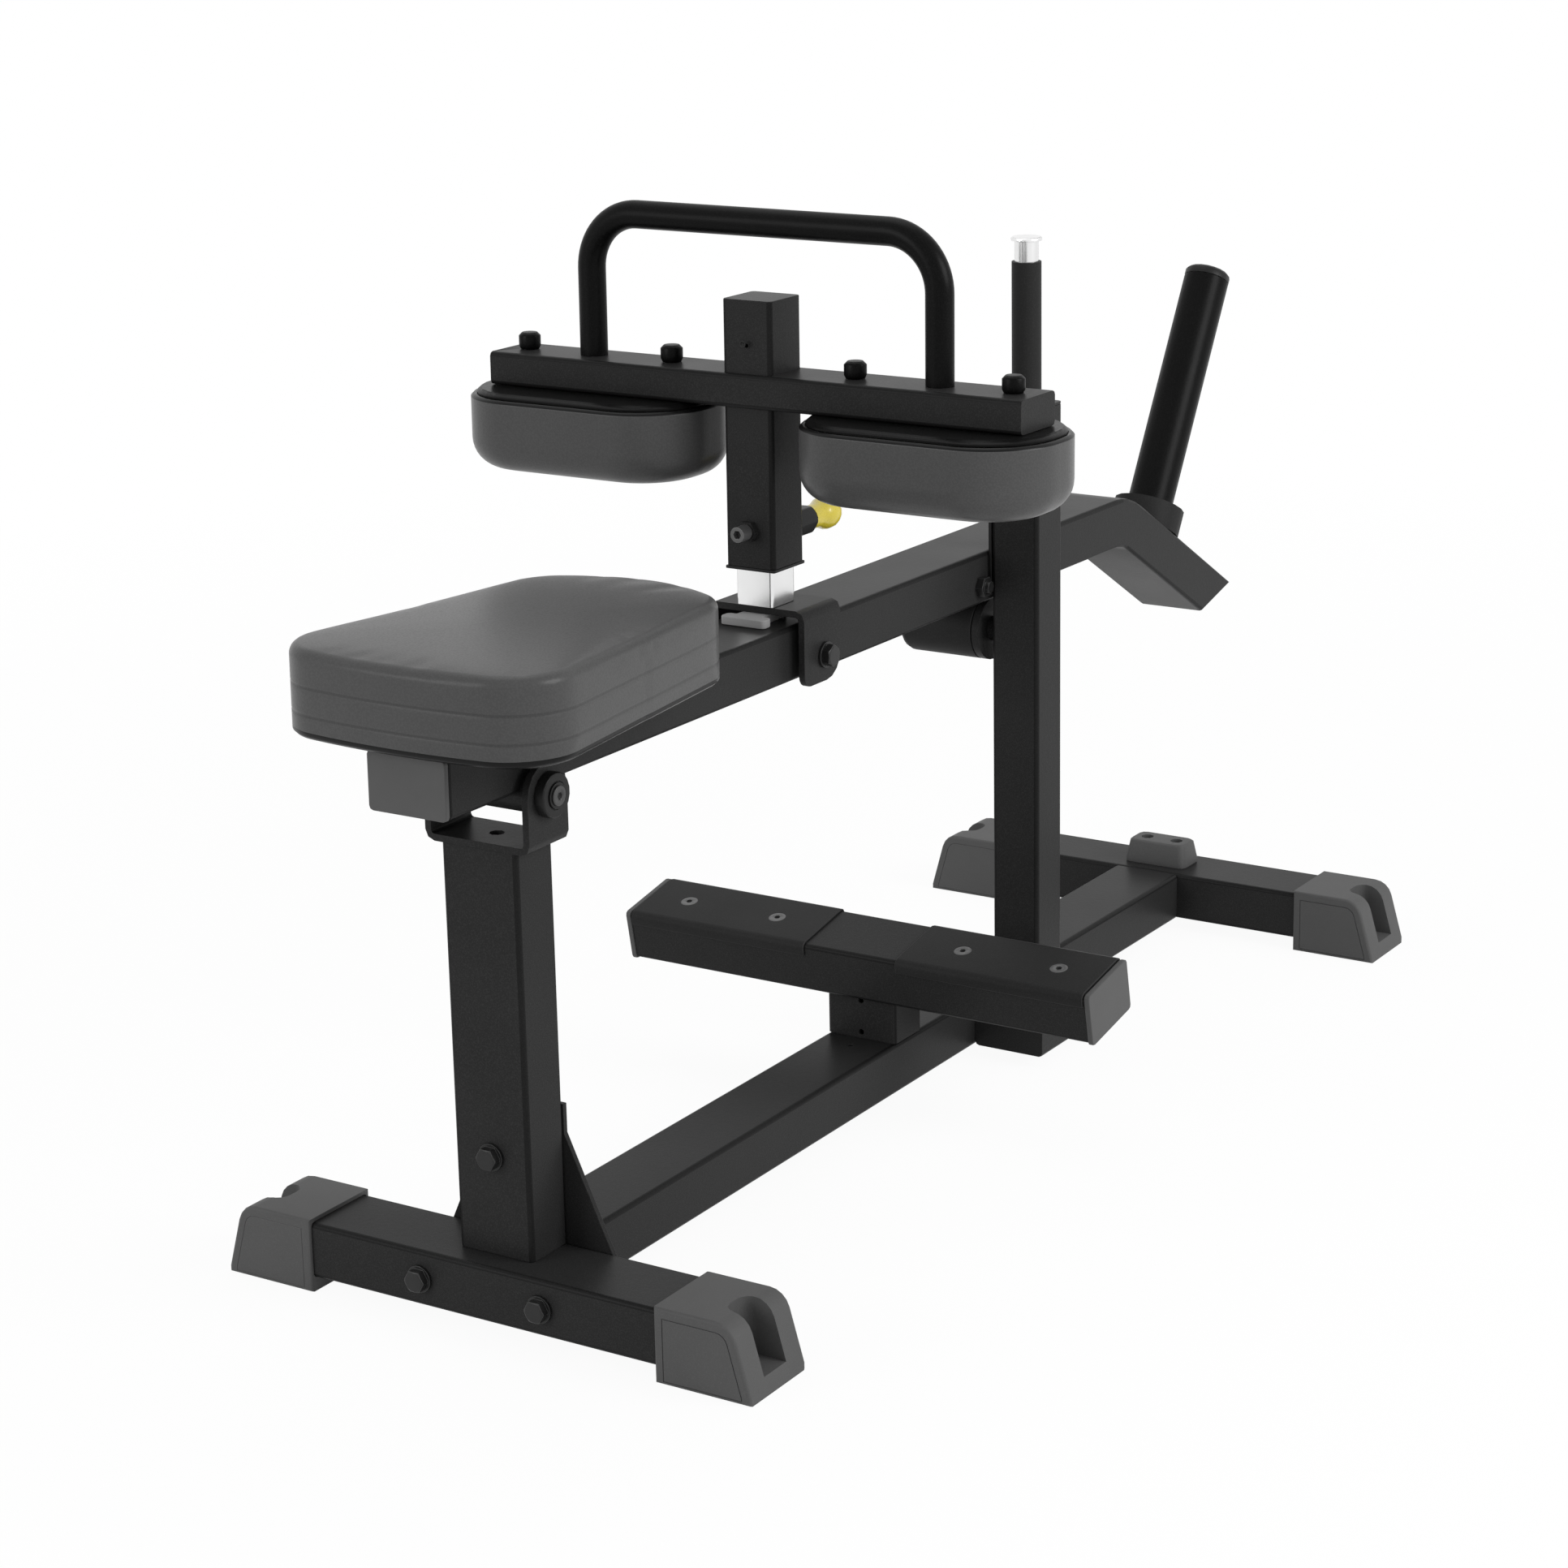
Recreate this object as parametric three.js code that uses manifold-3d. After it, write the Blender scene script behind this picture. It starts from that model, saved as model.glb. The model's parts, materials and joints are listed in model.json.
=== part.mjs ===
import * as THREE from 'three';
import { mergeVertices } from 'three/addons/utils/BufferGeometryUtils.js';
import Module from 'manifold-3d';

// Seated calf raise machine. Millimetres, Z up, X across, Y from the seat end to the weight end.
// Places are counted from the front face of the front cross tube and from the floor.
// The whole machine is moved at the end so that its middle stands over the origin.

const wasm = await Module();
wasm.setup();

// clearances; cutters run past what they cut, and joined solids bite into each other
const gap = 0.3;
const overrun = 20;
const bite = 1;
const same_place = 0.001;

// angles, and counts of steps, of which a drawn arc takes twice as many
const quarter = Math.PI / 2;
const half_turn = Math.PI;
const corner_segments = 1;
const curve_segments = 2;
const small_segments = 4;
const round_segments = 9;
const wide_segments = 14;

// base tubes and their feet
const tube_width = 75;
const tube_height = 50;
const tube_wall = 3;
const tube_corner = 4;
const base_bottom = 12.5;
const base_top = base_bottom + tube_height;
const base_middle = base_bottom + tube_height / 2;
const front_tube_middle = tube_width / 2;
const rear_tube_middle = 1252;
const joint_plate_thick = 5;
const rail_start = tube_width + gap + joint_plate_thick;
const rail_end = rear_tube_middle - tube_width / 2;
const cross_tube_half = 222;

const foot_inner = 176;
const foot_outer = 267.5;
const foot_wall = 4;
const foot_width = tube_width + 2 * foot_wall;
const foot_top = base_top + foot_wall;
const foot_shoulder = 20;
const foot_nose = 6;
const foot_lean = 17.3;
const foot_slot_width = 33;
const foot_slot_floor = 16;
const foot_slot_start = 226;
const foot_slot_corner = 12;
const foot_corner = 3;
const foot_groove = 0.9;
const foot_groove_depth = 0.7;
const foot_panel_inset = 9;
const foot_panel_bottom = 3;
const foot_screw_bore = 5;

// front post, seat pivot bracket and the bolted plate at its bottom
const post_depth = 50;
const front_post_middle = tube_width - post_depth / 2;
const front_post_top = 416;
const pivot_y = 51;
const pivot_z = 462;
const bracket_plate = 6;
const bracket_half = 52;
const bracket_depth = 54;
const bracket_corner = 9;
const bracket_hole = 13;
const pivot_pin_d = 20;
const pivot_tube_d = 35;
const pivot_tube_room = 1.5;
const pivot_disc_d = 38;
const pivot_disc_thick = 9;
const pivot_disc_edge = 1.5;
const pivot_disc_groove = 1;
const pivot_pin_inset = 1;
const pivot_boss_d = 22;
const pivot_boss_out = 1.2;
const pivot_boss_hole = 5;
const joint_plate_half = 92;
const joint_plate_edge = 40;
const joint_plate_top = 186;
const joint_plate_raise = 1;
const joint_plate_bottom = base_bottom + joint_plate_raise;
const joint_plate_slope_top = 160;
const post_bolt_z = 150;
const tube_bolt_x = 61.5;

// bolts
const hex_across = 18;
const hex_height = 7.5;
const washer_d = 24;
const washer_thick = 2.5;
const bolt_shank_d = 12;
const bolt_edge = 1.2;

// foot bar
const foot_post_middle = 637.5;
const foot_bar_y = 633.6;
const foot_bar_z = 137.1;
const foot_bar_tilt = 0.19;
const foot_bar_half = 250;
const bar_cap_thick = 5.5;
const bar_cap_edge = 1;
const grip_thick = 2.3;
const grip_lip = 11;
const grip_inner = 50.5;
const grip_outer = 249;
const grip_screw_x = [103, 205];
const grip_screw_d = 16;
const grip_screw_shank = 6;
const foot_post_hole = 6;
const foot_post_hole_z = [101, 69];
const rail_hole_y = 592;

// rear post with the safety catch
const rear_post_width = 50;
const lever_side_room = 4;
const catch_x = tube_width / 2 + lever_side_room + rear_post_width / 2;
const catch_y = 822;
const rear_post_top = 646;
const stub_width = 75;
const stub_length = 104;
const stub_end_cap = 3;
const stub_hole = 8;
const stub_hole_up = 4.5;
const bush_lip = 2.5;
const bush_depth = 26;
const guide_thick = 2.9;
const guide_bottom = 464;
const guide_drop = 10;
const guide_top = rear_post_top - guide_drop;
const catch_rod_d = 23;
const catch_head_d = 29.5;
const catch_head_thick = 3.5;
const catch_head_edge = 1;
const catch_grip_d = 28.5;
const catch_grip_lift = 4;
const catch_grip_length = 133.5;
const catch_neck = 19.5;
const catch_grip_bottom = rear_post_top + catch_grip_lift;
const catch_grip_top = catch_grip_bottom + catch_grip_length;
const catch_rod_top = catch_grip_top + catch_neck;
const catch_sleeve_d = 61.4;
const catch_sleeve_left = -60;
const catch_sleeve_right = 20.5;
const catch_flange_left = 22;
const catch_flange_right = 29.5;
const catch_arm_d = 24;
const catch_hub_d = 36;
const catch_sleeve_edge = 7;
const edge_share = 1 - Math.SQRT1_2;
const arm_clearance = 1.5;
const arm_overswing = 5;
const low_bush_depth = 24;
const low_bush_drop = 30;

// rubber stop on the rear tube
const stop_width = 72;
const stop_depth = 40;
const stop_top_width = 64;
const stop_top_depth = 32;
const stop_height = 25;
const stop_corner = 7;
const stop_edge = 2;
const stop_bore = 14;
const stop_bore_x = 17.5;
const stop_bore_floor = 8;
const stop_skirt = 5;

// lever: places below are counted from the pivot, along the lever
const lever_slope = 0.0105;
const beam_bottom = 2.7;
const beam_top = beam_bottom + tube_height;
const beam_front = -109;
const beam_cap_thick = 5;
const beam_cap_edge = 1.2;
const beam_cap_out = 0.75;
const bend_start = 1017;
const bend_outer = 110;
const bend_inner = bend_outer - tube_height;
const bend_angle = Math.PI / 6;
const leg_top_length = 243;
const leg_end_plate = 4;
const beam_edge = 3.5;
const cross_bolt_y = 731;
const cross_bolt_z = 21;
const cross_bolt_out = 4;

const horn_place = 89.5;
const horn_d = 48;
const horn_wall = 4;
const horn_length = 294;
const horn_cap_thick = 9;
const horn_cap_edge = 3;
const collar_d = 75;
const collar_thick = 28;

// seat
const seat_board_thick = 5;
const seat_board_inset = 7;
const seat_board_edge = 2;
const seat_front_y = -73;
const seat_front_x = 84;
const seat_front_r = 45;
const seat_rear_y = 163;
const seat_rear_x = 57;
const seat_rear_r = 43;
const seat_bolt_y = [-62, 130];
const seat_form = {
  thick: 67,
  low_edge: 3,
  high_edge: 11,
  crown: 3,
  seams: [14, 36],
  seam_depth: 1.2,
  draw: 1,
};
const corner_steps = 7;
const rim_steps = 5;
const crown_shares = [0.8, 0.55, 0.25];

// knee bracket and its post
const knee_y = 425;
const knee_z = 21.9;
const knee_bracket_half = 51;
const knee_bracket_front = 390.5;
const knee_bracket_depth = 61;
const knee_plate = 6;
const knee_plate_top = 67.2;
const knee_ear_bottom = -2;
const knee_ear_front_r = 10;
const knee_ear_rear_r = 24;
const spacer_d = 21;
const rest_front = 368;
const rest_depth = 57;
const rest_half = 23;
const rest_bar_depth = 14;
const rest_tongue_width = 26;
const rest_corner = 4;
const rest_edge = 1;
const inner_post_width = 38;
const inner_post_wall = 3;
const inner_post_top = 300;
const inner_post_corner = 3;
const inner_post_holes = [105, 130, 155, 180, 205, 230, 255];
const inner_post_bore = 9;

// sleeve with crossbar, pads and handle
const sleeve_y = 408.5;
const sleeve_width = 50;
const sleeve_wall = 2.5;
const sleeve_corner = 4;
const sleeve_bottom = 103.5;
const sleeve_top = 337.5;
const sleeve_cap_thick = 3;
const sleeve_cap_edge = 0.8;
const liner_lip = 2.5;
const liner_lip_out = 0.8;
const liner_depth = 60;
const sleeve_hole = 4;
const sleeve_hole_z = 300;
const crossbar_half = 271;
const crossbar_depth = 60;
const crossbar_height = 30;
const crossbar_bottom = 245.3;
const crossbar_middle = crossbar_bottom + crossbar_height / 2;
const crossbar_top = crossbar_bottom + crossbar_height;
const crossbar_cap_thick = 2.5;
const pad_bolt_d = 20;
const pad_bolt_height = 15;
const pad_bolt_edge = 3;
const pad_shank_d = 8;
const pad_board_thick = 5;
const pad_board_inset = 2.5;
const pad_board_bevel = 4;
const pad_middle = 175;
const pad_bolt_inward = 80;
const pad_bolt_outward = 75;
const pad_bolt_x = [pad_middle - pad_bolt_inward, pad_middle + pad_bolt_outward];
const pad_half = 119;
const pad_half_depth = 70;
const pad_corner = 64;
const pad_y = 407.5;
const pad_form = {
  thick: 66.5,
  low_edge: 3,
  high_edge: 25,
  crown: 2.5,
  seams: [],
  seam_depth: 1,
  draw: 1,
};
const handle_half = 179;
const handle_d = 25;
const handle_wall = 2.5;
const handle_bend = 50;
const handle_top = 403.8;
const clamp_z = 136.5;
const clamp_head_d = 14;
const clamp_head_length = 14;
const clamp_shank_d = 9;
const clamp_socket_d = 7;
const clamp_nut_across = 17;
const clamp_nut_thick = 6;
const pin_z = 130;
const pin_body_across = 24;
const pin_body_length = 46;
const pin_body_edge = 1.5;
const pin_rod_d = 8;
const pin_knob_d = 30;
const pin_knob_length = 40;
// Radius and height of the knob's outline, as shares of its largest radius and its length
const pin_knob_shares = [
  [0, 1],
  [0.6, 1],
  [0.87, 0.94],
  [1, 0.8],
  [1, 0.62],
  [0.88, 0.48],
  [0.73, 0.32],
  [0.73, 0],
  [0, 0],
];
const pin_gap = 1;

// The middle of the whole length, from the seat front to the tip of the weight horn
const middle_y = 651.5;

// materials, one look per slot
const looks = {
  black_paint: { color: 0x393939, roughness: 0.55, metalness: 0.35 },
  grey_rubber: { color: 0x5c5c5c, roughness: 0.8, metalness: 0 },
  black_rubber: { color: 0x2b2b2b, roughness: 0.75, metalness: 0 },
  grey_plastic: { color: 0x585858, roughness: 0.6, metalness: 0 },
  black_plastic: { color: 0x1c1c1c, roughness: 0.45, metalness: 0 },
  vinyl: { color: 0x555555, roughness: 0.6, metalness: 0 },
  board: { color: 0x191919, roughness: 0.5, metalness: 0 },
  chrome: { color: 0xdedede, roughness: 0.12, metalness: 1 },
  black_bolt: { color: 0x262626, roughness: 0.5, metalness: 0.5 },
  grey_bolt: { color: 0x6c6c6c, roughness: 0.45, metalness: 0.7 },
  yellow_plastic: { color: 0xd8c93a, roughness: 0.4, metalness: 0 },
};

const sides = [['right', 1], ['left', -1]];

// outlines
function rounded_rectangle(width, height, radius) {
  const x = width / 2 - radius;
  const y = height / 2 - radius;
  const shape = new THREE.Shape();
  shape.absarc(x, -y, radius, -quarter, 0, false);
  shape.absarc(x, y, radius, 0, quarter, false);
  shape.absarc(-x, y, radius, quarter, half_turn, false);
  shape.absarc(-x, -y, radius, half_turn, half_turn + quarter, false);
  shape.closePath();
  return shape;
}

function rectangle(width, height) {
  return polygon([
    [-width / 2, -height / 2],
    [width / 2, -height / 2],
    [width / 2, height / 2],
    [-width / 2, height / 2],
  ]);
}

function polygon(points) {
  return new THREE.Shape(points.map(([x, y]) => new THREE.Vector2(x, y)));
}

function circle(diameter) {
  const shape = new THREE.Shape();
  shape.absarc(0, 0, diameter / 2, 0, 2 * half_turn, false);
  return shape;
}

function hexagon(across) {
  const radius = across / Math.sqrt(3);
  const corners = [];
  for (let i = 0; i < 6; i += 1) {
    const angle = i * half_turn / 3;
    corners.push([radius * Math.cos(angle), radius * Math.sin(angle)]);
  }
  return polygon(corners);
}

function with_hole(shape, hole) {
  shape.holes.push(hole);
  return shape;
}

// solids
function solid_of(positions, faces) {
  const mesh = new wasm.Mesh({
    numProp: 3,
    vertProperties: new Float32Array(positions),
    triVerts: new Uint32Array(faces),
  });
  return new wasm.Manifold(mesh);
}

// A closed geometry as a solid, without the flat faces that a turned outline has on its axis
function to_solid(geometry) {
  geometry.deleteAttribute('normal');
  geometry.deleteAttribute('uv');
  const merged = mergeVertices(geometry);
  const corners = merged.index.array;
  const faces = [];
  for (let i = 0; i < corners.length; i += 3) {
    const [a, b, c] = corners.slice(i, i + 3);
    if (a !== b && b !== c && c !== a) {
      faces.push(a, b, c);
    }
  }
  return solid_of(merged.attributes.position.array, faces);
}

function to_geometry(solid) {
  const mesh = solid.getMesh();
  const geometry = new THREE.BufferGeometry();
  geometry.setAttribute('position', new THREE.BufferAttribute(new Float32Array(mesh.vertProperties), 3));
  geometry.setIndex(new THREE.BufferAttribute(new Uint32Array(mesh.triVerts), 1));
  const facets = geometry.toNonIndexed();
  facets.computeVertexNormals();
  return facets;
}

// An outline pushed out along one axis and centred on it. Along x the outline is drawn in (y, z),
// along y it is drawn in (x, z), along z it is drawn in (x, y).
const axis_turns = {
  x: new THREE.Matrix4().makeBasis(
    new THREE.Vector3(0, 1, 0), new THREE.Vector3(0, 0, 1), new THREE.Vector3(1, 0, 0)),
  y: new THREE.Matrix4().makeBasis(
    new THREE.Vector3(1, 0, 0), new THREE.Vector3(0, 0, 1), new THREE.Vector3(0, -1, 0)),
  z: new THREE.Matrix4(),
};

function pushed(shape, length, axis, segments = corner_segments, edge = 0) {
  const geometry = new THREE.ExtrudeGeometry(shape, {
    depth: length - 2 * edge,
    curveSegments: segments,
    bevelEnabled: edge > 0,
    bevelThickness: edge,
    bevelSize: edge,
    bevelOffset: -edge,
    bevelSegments: 2,
  });
  geometry.translate(0, 0, edge - length / 2);
  geometry.applyMatrix4(axis_turns[axis]);
  return to_solid(geometry);
}

function rod(diameter, length, axis, segments = round_segments) {
  return pushed(circle(diameter), length, axis, segments);
}

function ring(outer, inner, length, axis) {
  return pushed(with_hole(circle(outer), circle(inner)), length, axis, round_segments);
}

// What fits inside the main tube, for the plugs of its end caps
function plug_shape() {
  const width = tube_width - 2 * tube_wall - 2 * gap;
  const height = tube_height - 2 * tube_wall - 2 * gap;
  return rounded_rectangle(width, height, tube_corner / 2);
}

function square_tube(width, height, wall, corner, length, axis) {
  const shape = rounded_rectangle(width, height, corner);
  const hole = rounded_rectangle(width - 2 * wall, height - 2 * wall, Math.max(corner - wall, wall / 3));
  return pushed(with_hole(shape, hole), length, axis);
}

function turned(profile, axis, segments = round_segments) {
  const points = profile.map(([radius, height]) => new THREE.Vector2(radius, height));
  const geometry = new THREE.LatheGeometry(points, 2 * segments);
  geometry.rotateX(quarter);
  geometry.applyMatrix4(axis_turns[axis]);
  return to_solid(geometry);
}

function joined(solids) {
  return solids.reduce((sum, solid) => sum.add(solid));
}

function cut(solid, cutters) {
  return cutters.reduce((left, cutter) => left.subtract(cutter), solid);
}

function bolt_bore(length, axis, segments = small_segments) {
  return rod(bolt_shank_d + 2 * gap, length, axis, segments);
}

// A hexagon bolt head with its washer, seated on z = 0 and pointing up, and a shank below
function bolt(shank_length) {
  const head = pushed(hexagon(hex_across), hex_height, 'z');
  const trim = turned([
    [0, 0],
    [hex_across / 2 + bolt_edge, 0],
    [hex_across / 2 + bolt_edge, hex_height - bolt_edge],
    [hex_across / 2 - bolt_edge, hex_height],
    [0, hex_height],
  ], 'z');
  const head_up = head.translate([0, 0, hex_height / 2]).intersect(trim);
  const washer = rod(washer_d, washer_thick, 'z').translate([0, 0, washer_thick / 2]);
  const shank = rod(bolt_shank_d, shank_length + bite, 'z', small_segments)
    .translate([0, 0, (bite - shank_length) / 2]);
  return joined([head_up.translate([0, 0, washer_thick]), washer, shank]);
}

// The bolt with its nut beyond what it holds
function bolt_and_nut(held) {
  const nut = pushed(hexagon(hex_across), hex_height, 'z').translate([0, 0, -held - hex_height / 2]);
  return bolt(held + hex_height + bolt_edge).add(nut);
}

const machine = new THREE.Group();

function place(parent, name, look, solid, position = [0, 0, 0], turn = [0, 0, 0]) {
  const material = new THREE.MeshStandardMaterial(looks[look]);
  material.name = look;
  const mesh = new THREE.Mesh(to_geometry(solid), material);
  mesh.name = name;
  mesh.position.set(...position);
  mesh.rotation.set(...turn);
  parent.add(mesh);
  return mesh;
}

// base frame
function foot_profile(inset, bottom) {
  const lean = foot_lean / (foot_top - foot_nose);
  const shoulder = foot_shoulder - inset;
  const top = foot_top - inset;
  const outer = foot_outer - inset;
  const turn = quarter - Math.atan(lean);
  const edge_x = outer - lean * (top - foot_nose);
  const reach = shoulder * Math.tan(turn / 2);
  const shape = new THREE.Shape();
  shape.moveTo(foot_inner + inset, bottom);
  shape.lineTo(outer, bottom);
  shape.lineTo(outer, Math.max(foot_nose, bottom));
  shape.absarc(edge_x - reach, top - shoulder, shoulder, quarter - turn, quarter, false);
  shape.lineTo(foot_inner + inset, top);
  shape.closePath();
  return shape;
}

function foot_solid() {
  const body = pushed(foot_profile(0, 0), foot_width, 'y', curve_segments, foot_corner);
  const slot_length = foot_outer - foot_slot_start + 2 * overrun;
  const slot_height = foot_top - foot_slot_floor + overrun;
  const slot_shape = rounded_rectangle(slot_length, foot_slot_width, foot_slot_corner);
  const slot = pushed(slot_shape, slot_height, 'z', curve_segments).translate([
    foot_slot_start + slot_length / 2,
    0,
    foot_slot_floor + slot_height / 2,
  ]);
  const tube_room = pushed(
    rounded_rectangle(tube_width + 2 * gap, tube_height + 2 * gap, tube_corner),
    2 * (cross_tube_half - foot_inner + gap),
    'x',
  ).translate([foot_inner, 0, base_middle]);
  const screw_bore = rod(foot_screw_bore, foot_slot_floor * 3, 'z', small_segments)
    .translate([foot_slot_start + foot_slot_width / 2, 0, 0]);
  const line = with_hole(
    foot_profile(foot_panel_inset - foot_groove, foot_panel_bottom),
    foot_profile(foot_panel_inset, foot_panel_bottom + foot_groove),
  );
  const groove = pushed(line, 2 * foot_groove_depth, 'y', curve_segments);
  const grooves = [-1, 1].map((side) => groove.translate([0, side * foot_width / 2, 0]));
  return cut(body, [slot, tube_room, screw_bore, ...grooves]);
}

function add_base() {
  const cross_tube = square_tube(
    tube_width, tube_height, tube_wall, tube_corner, 2 * cross_tube_half, 'x');
  const front_bores = [-1, 1].map((side) => bolt_bore(3 * tube_width, 'y')
    .translate([side * tube_bolt_x, 0, 0]));
  const ends = [['front', front_tube_middle], ['rear', rear_tube_middle]];
  for (const [end, y] of ends) {
    const solid = end === 'front' ? cut(cross_tube, front_bores) : cross_tube;
    place(machine, `${end}_cross_tube`, 'black_paint', solid, [0, y, base_middle]);
    const foot = foot_solid();
    place(machine, `${end}_foot_right`, 'grey_rubber', foot, [0, y, 0]);
    place(machine, `${end}_foot_left`, 'grey_rubber', foot, [0, y, 0], [0, 0, half_turn]);
  }

  const rail_length = rail_end - rail_start - 2 * gap;
  const rail_middle = (rail_start + rail_end) / 2;
  const rail_tube = square_tube(tube_width, tube_height, tube_wall, tube_corner, rail_length, 'y');
  const rail_hole = rod(foot_post_hole, tube_height, 'z', small_segments)
    .translate([0, rail_hole_y - rail_middle, tube_height / 2]);
  place(machine, 'base_rail', 'black_paint', cut(rail_tube, [rail_hole]), [0, rail_middle, base_middle]);
}

function add_front_post() {
  const top = front_post_top - gap;
  const bottom = base_top + gap;
  const height = top - bottom;
  const tube = square_tube(tube_width, post_depth, tube_wall, tube_corner, height, 'z');
  const bore = bolt_bore(2 * post_depth, 'y').translate([0, 0, post_bolt_z - (top + bottom) / 2]);
  place(machine, 'front_post', 'black_paint', cut(tube, [bore]),
    [0, front_post_middle, (top + bottom) / 2]);

  const post_rear = front_post_middle + post_depth / 2;
  const plate_shape = polygon([
    [-joint_plate_half, joint_plate_bottom],
    [joint_plate_half, joint_plate_bottom],
    [joint_plate_half, joint_plate_edge],
    [tube_width / 2, joint_plate_slope_top],
    [tube_width / 2, joint_plate_top],
    [-tube_width / 2, joint_plate_top],
    [-tube_width / 2, joint_plate_slope_top],
    [-joint_plate_half, joint_plate_edge],
  ]);
  const bores = [
    [0, post_bolt_z],
    [-tube_bolt_x, base_middle],
    [tube_bolt_x, base_middle],
  ];
  const bore_cuts = bores.map(([x, z]) => bolt_bore(4 * joint_plate_thick, 'y').translate([x, 0, z]));
  const plate = pushed(plate_shape, joint_plate_thick, 'y');
  place(machine, 'front_joint_plate', 'black_paint', cut(plate, bore_cuts),
    [0, post_rear + gap + joint_plate_thick / 2, 0]);

  const names = ['post', 'left', 'right'];
  bores.forEach(([x, z], i) => {
    const face = z === post_bolt_z ? front_post_middle - post_depth / 2 : 0;
    const held = rail_start - face + 2 * gap;
    place(machine, `front_joint_bolt_${names[i]}`, 'black_bolt', bolt_and_nut(held).rotate([90, 0, 0]),
      [x, face - gap, z]);
  });
}

function add_pivot_bracket() {
  const floor_bottom = front_post_top;
  const height = pivot_z - floor_bottom;
  const outline = new THREE.Shape();
  outline.moveTo(-bracket_half + bracket_corner, 0);
  outline.lineTo(bracket_half - bracket_corner, 0);
  outline.absarc(bracket_half - bracket_corner, bracket_corner, bracket_corner, -quarter, 0, false);
  outline.lineTo(bracket_half, height + bracket_depth / 2);
  outline.lineTo(bracket_half - bracket_plate, height + bracket_depth / 2);
  outline.lineTo(bracket_half - bracket_plate, bracket_corner);
  outline.absarc(bracket_half - bracket_corner, bracket_corner, bracket_corner - bracket_plate,
    0, -quarter, true);
  outline.lineTo(-bracket_half + bracket_corner, bracket_plate);
  outline.absarc(-bracket_half + bracket_corner, bracket_corner, bracket_corner - bracket_plate,
    -quarter, -half_turn, true);
  outline.lineTo(-bracket_half + bracket_plate, height + bracket_depth / 2);
  outline.lineTo(-bracket_half, height + bracket_depth / 2);
  outline.lineTo(-bracket_half, bracket_corner);
  outline.absarc(-bracket_half + bracket_corner, bracket_corner, bracket_corner,
    half_turn, half_turn + quarter, false);
  const channel = pushed(outline, bracket_depth, 'y');

  const side = new THREE.Shape();
  side.moveTo(-bracket_depth / 2, -overrun);
  side.lineTo(bracket_depth / 2, -overrun);
  side.lineTo(bracket_depth / 2, height);
  side.absarc(0, height, bracket_depth / 2, 0, half_turn, false);
  side.closePath();
  const side_block = pushed(side, 3 * bracket_half, 'x', small_segments);
  const bores = [
    rod(pivot_pin_d + 2 * gap, 3 * bracket_half, 'x').translate([0, 0, height]),
    rod(bracket_hole, 4 * bracket_plate, 'z', small_segments),
  ];
  place(machine, 'pivot_bracket', 'black_paint', cut(channel.intersect(side_block), bores),
    [0, pivot_y, floor_bottom]);

  const pin_half = bracket_half - pivot_pin_inset;
  place(machine, 'pivot_pin', 'grey_bolt', rod(pivot_pin_d, 2 * pin_half, 'x'), [0, pivot_y, pivot_z]);
  const radius = pivot_disc_d / 2;
  const boss = pivot_boss_d / 2;
  const disc = turned([
    [0, 0],
    [radius, 0],
    [radius, pivot_disc_thick - pivot_disc_edge],
    [radius - pivot_disc_edge, pivot_disc_thick],
    [boss + pivot_disc_groove, pivot_disc_thick],
    [boss + pivot_disc_groove, pivot_disc_thick - pivot_disc_groove],
    [boss, pivot_disc_thick - pivot_disc_groove],
    [boss, pivot_disc_thick + pivot_boss_out],
    [0, pivot_disc_thick + pivot_boss_out],
  ], 'x');
  const socket = rod(pivot_boss_hole, pivot_disc_thick, 'x', small_segments)
    .translate([pivot_disc_thick, 0, 0]);
  for (const [side, way] of sides) {
    place(machine, `pivot_cap_${side}`, 'black_plastic', cut(disc, [socket]),
      [way * (bracket_half + gap), pivot_y, pivot_z], [0, 0, way > 0 ? 0 : half_turn]);
  }
}

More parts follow.
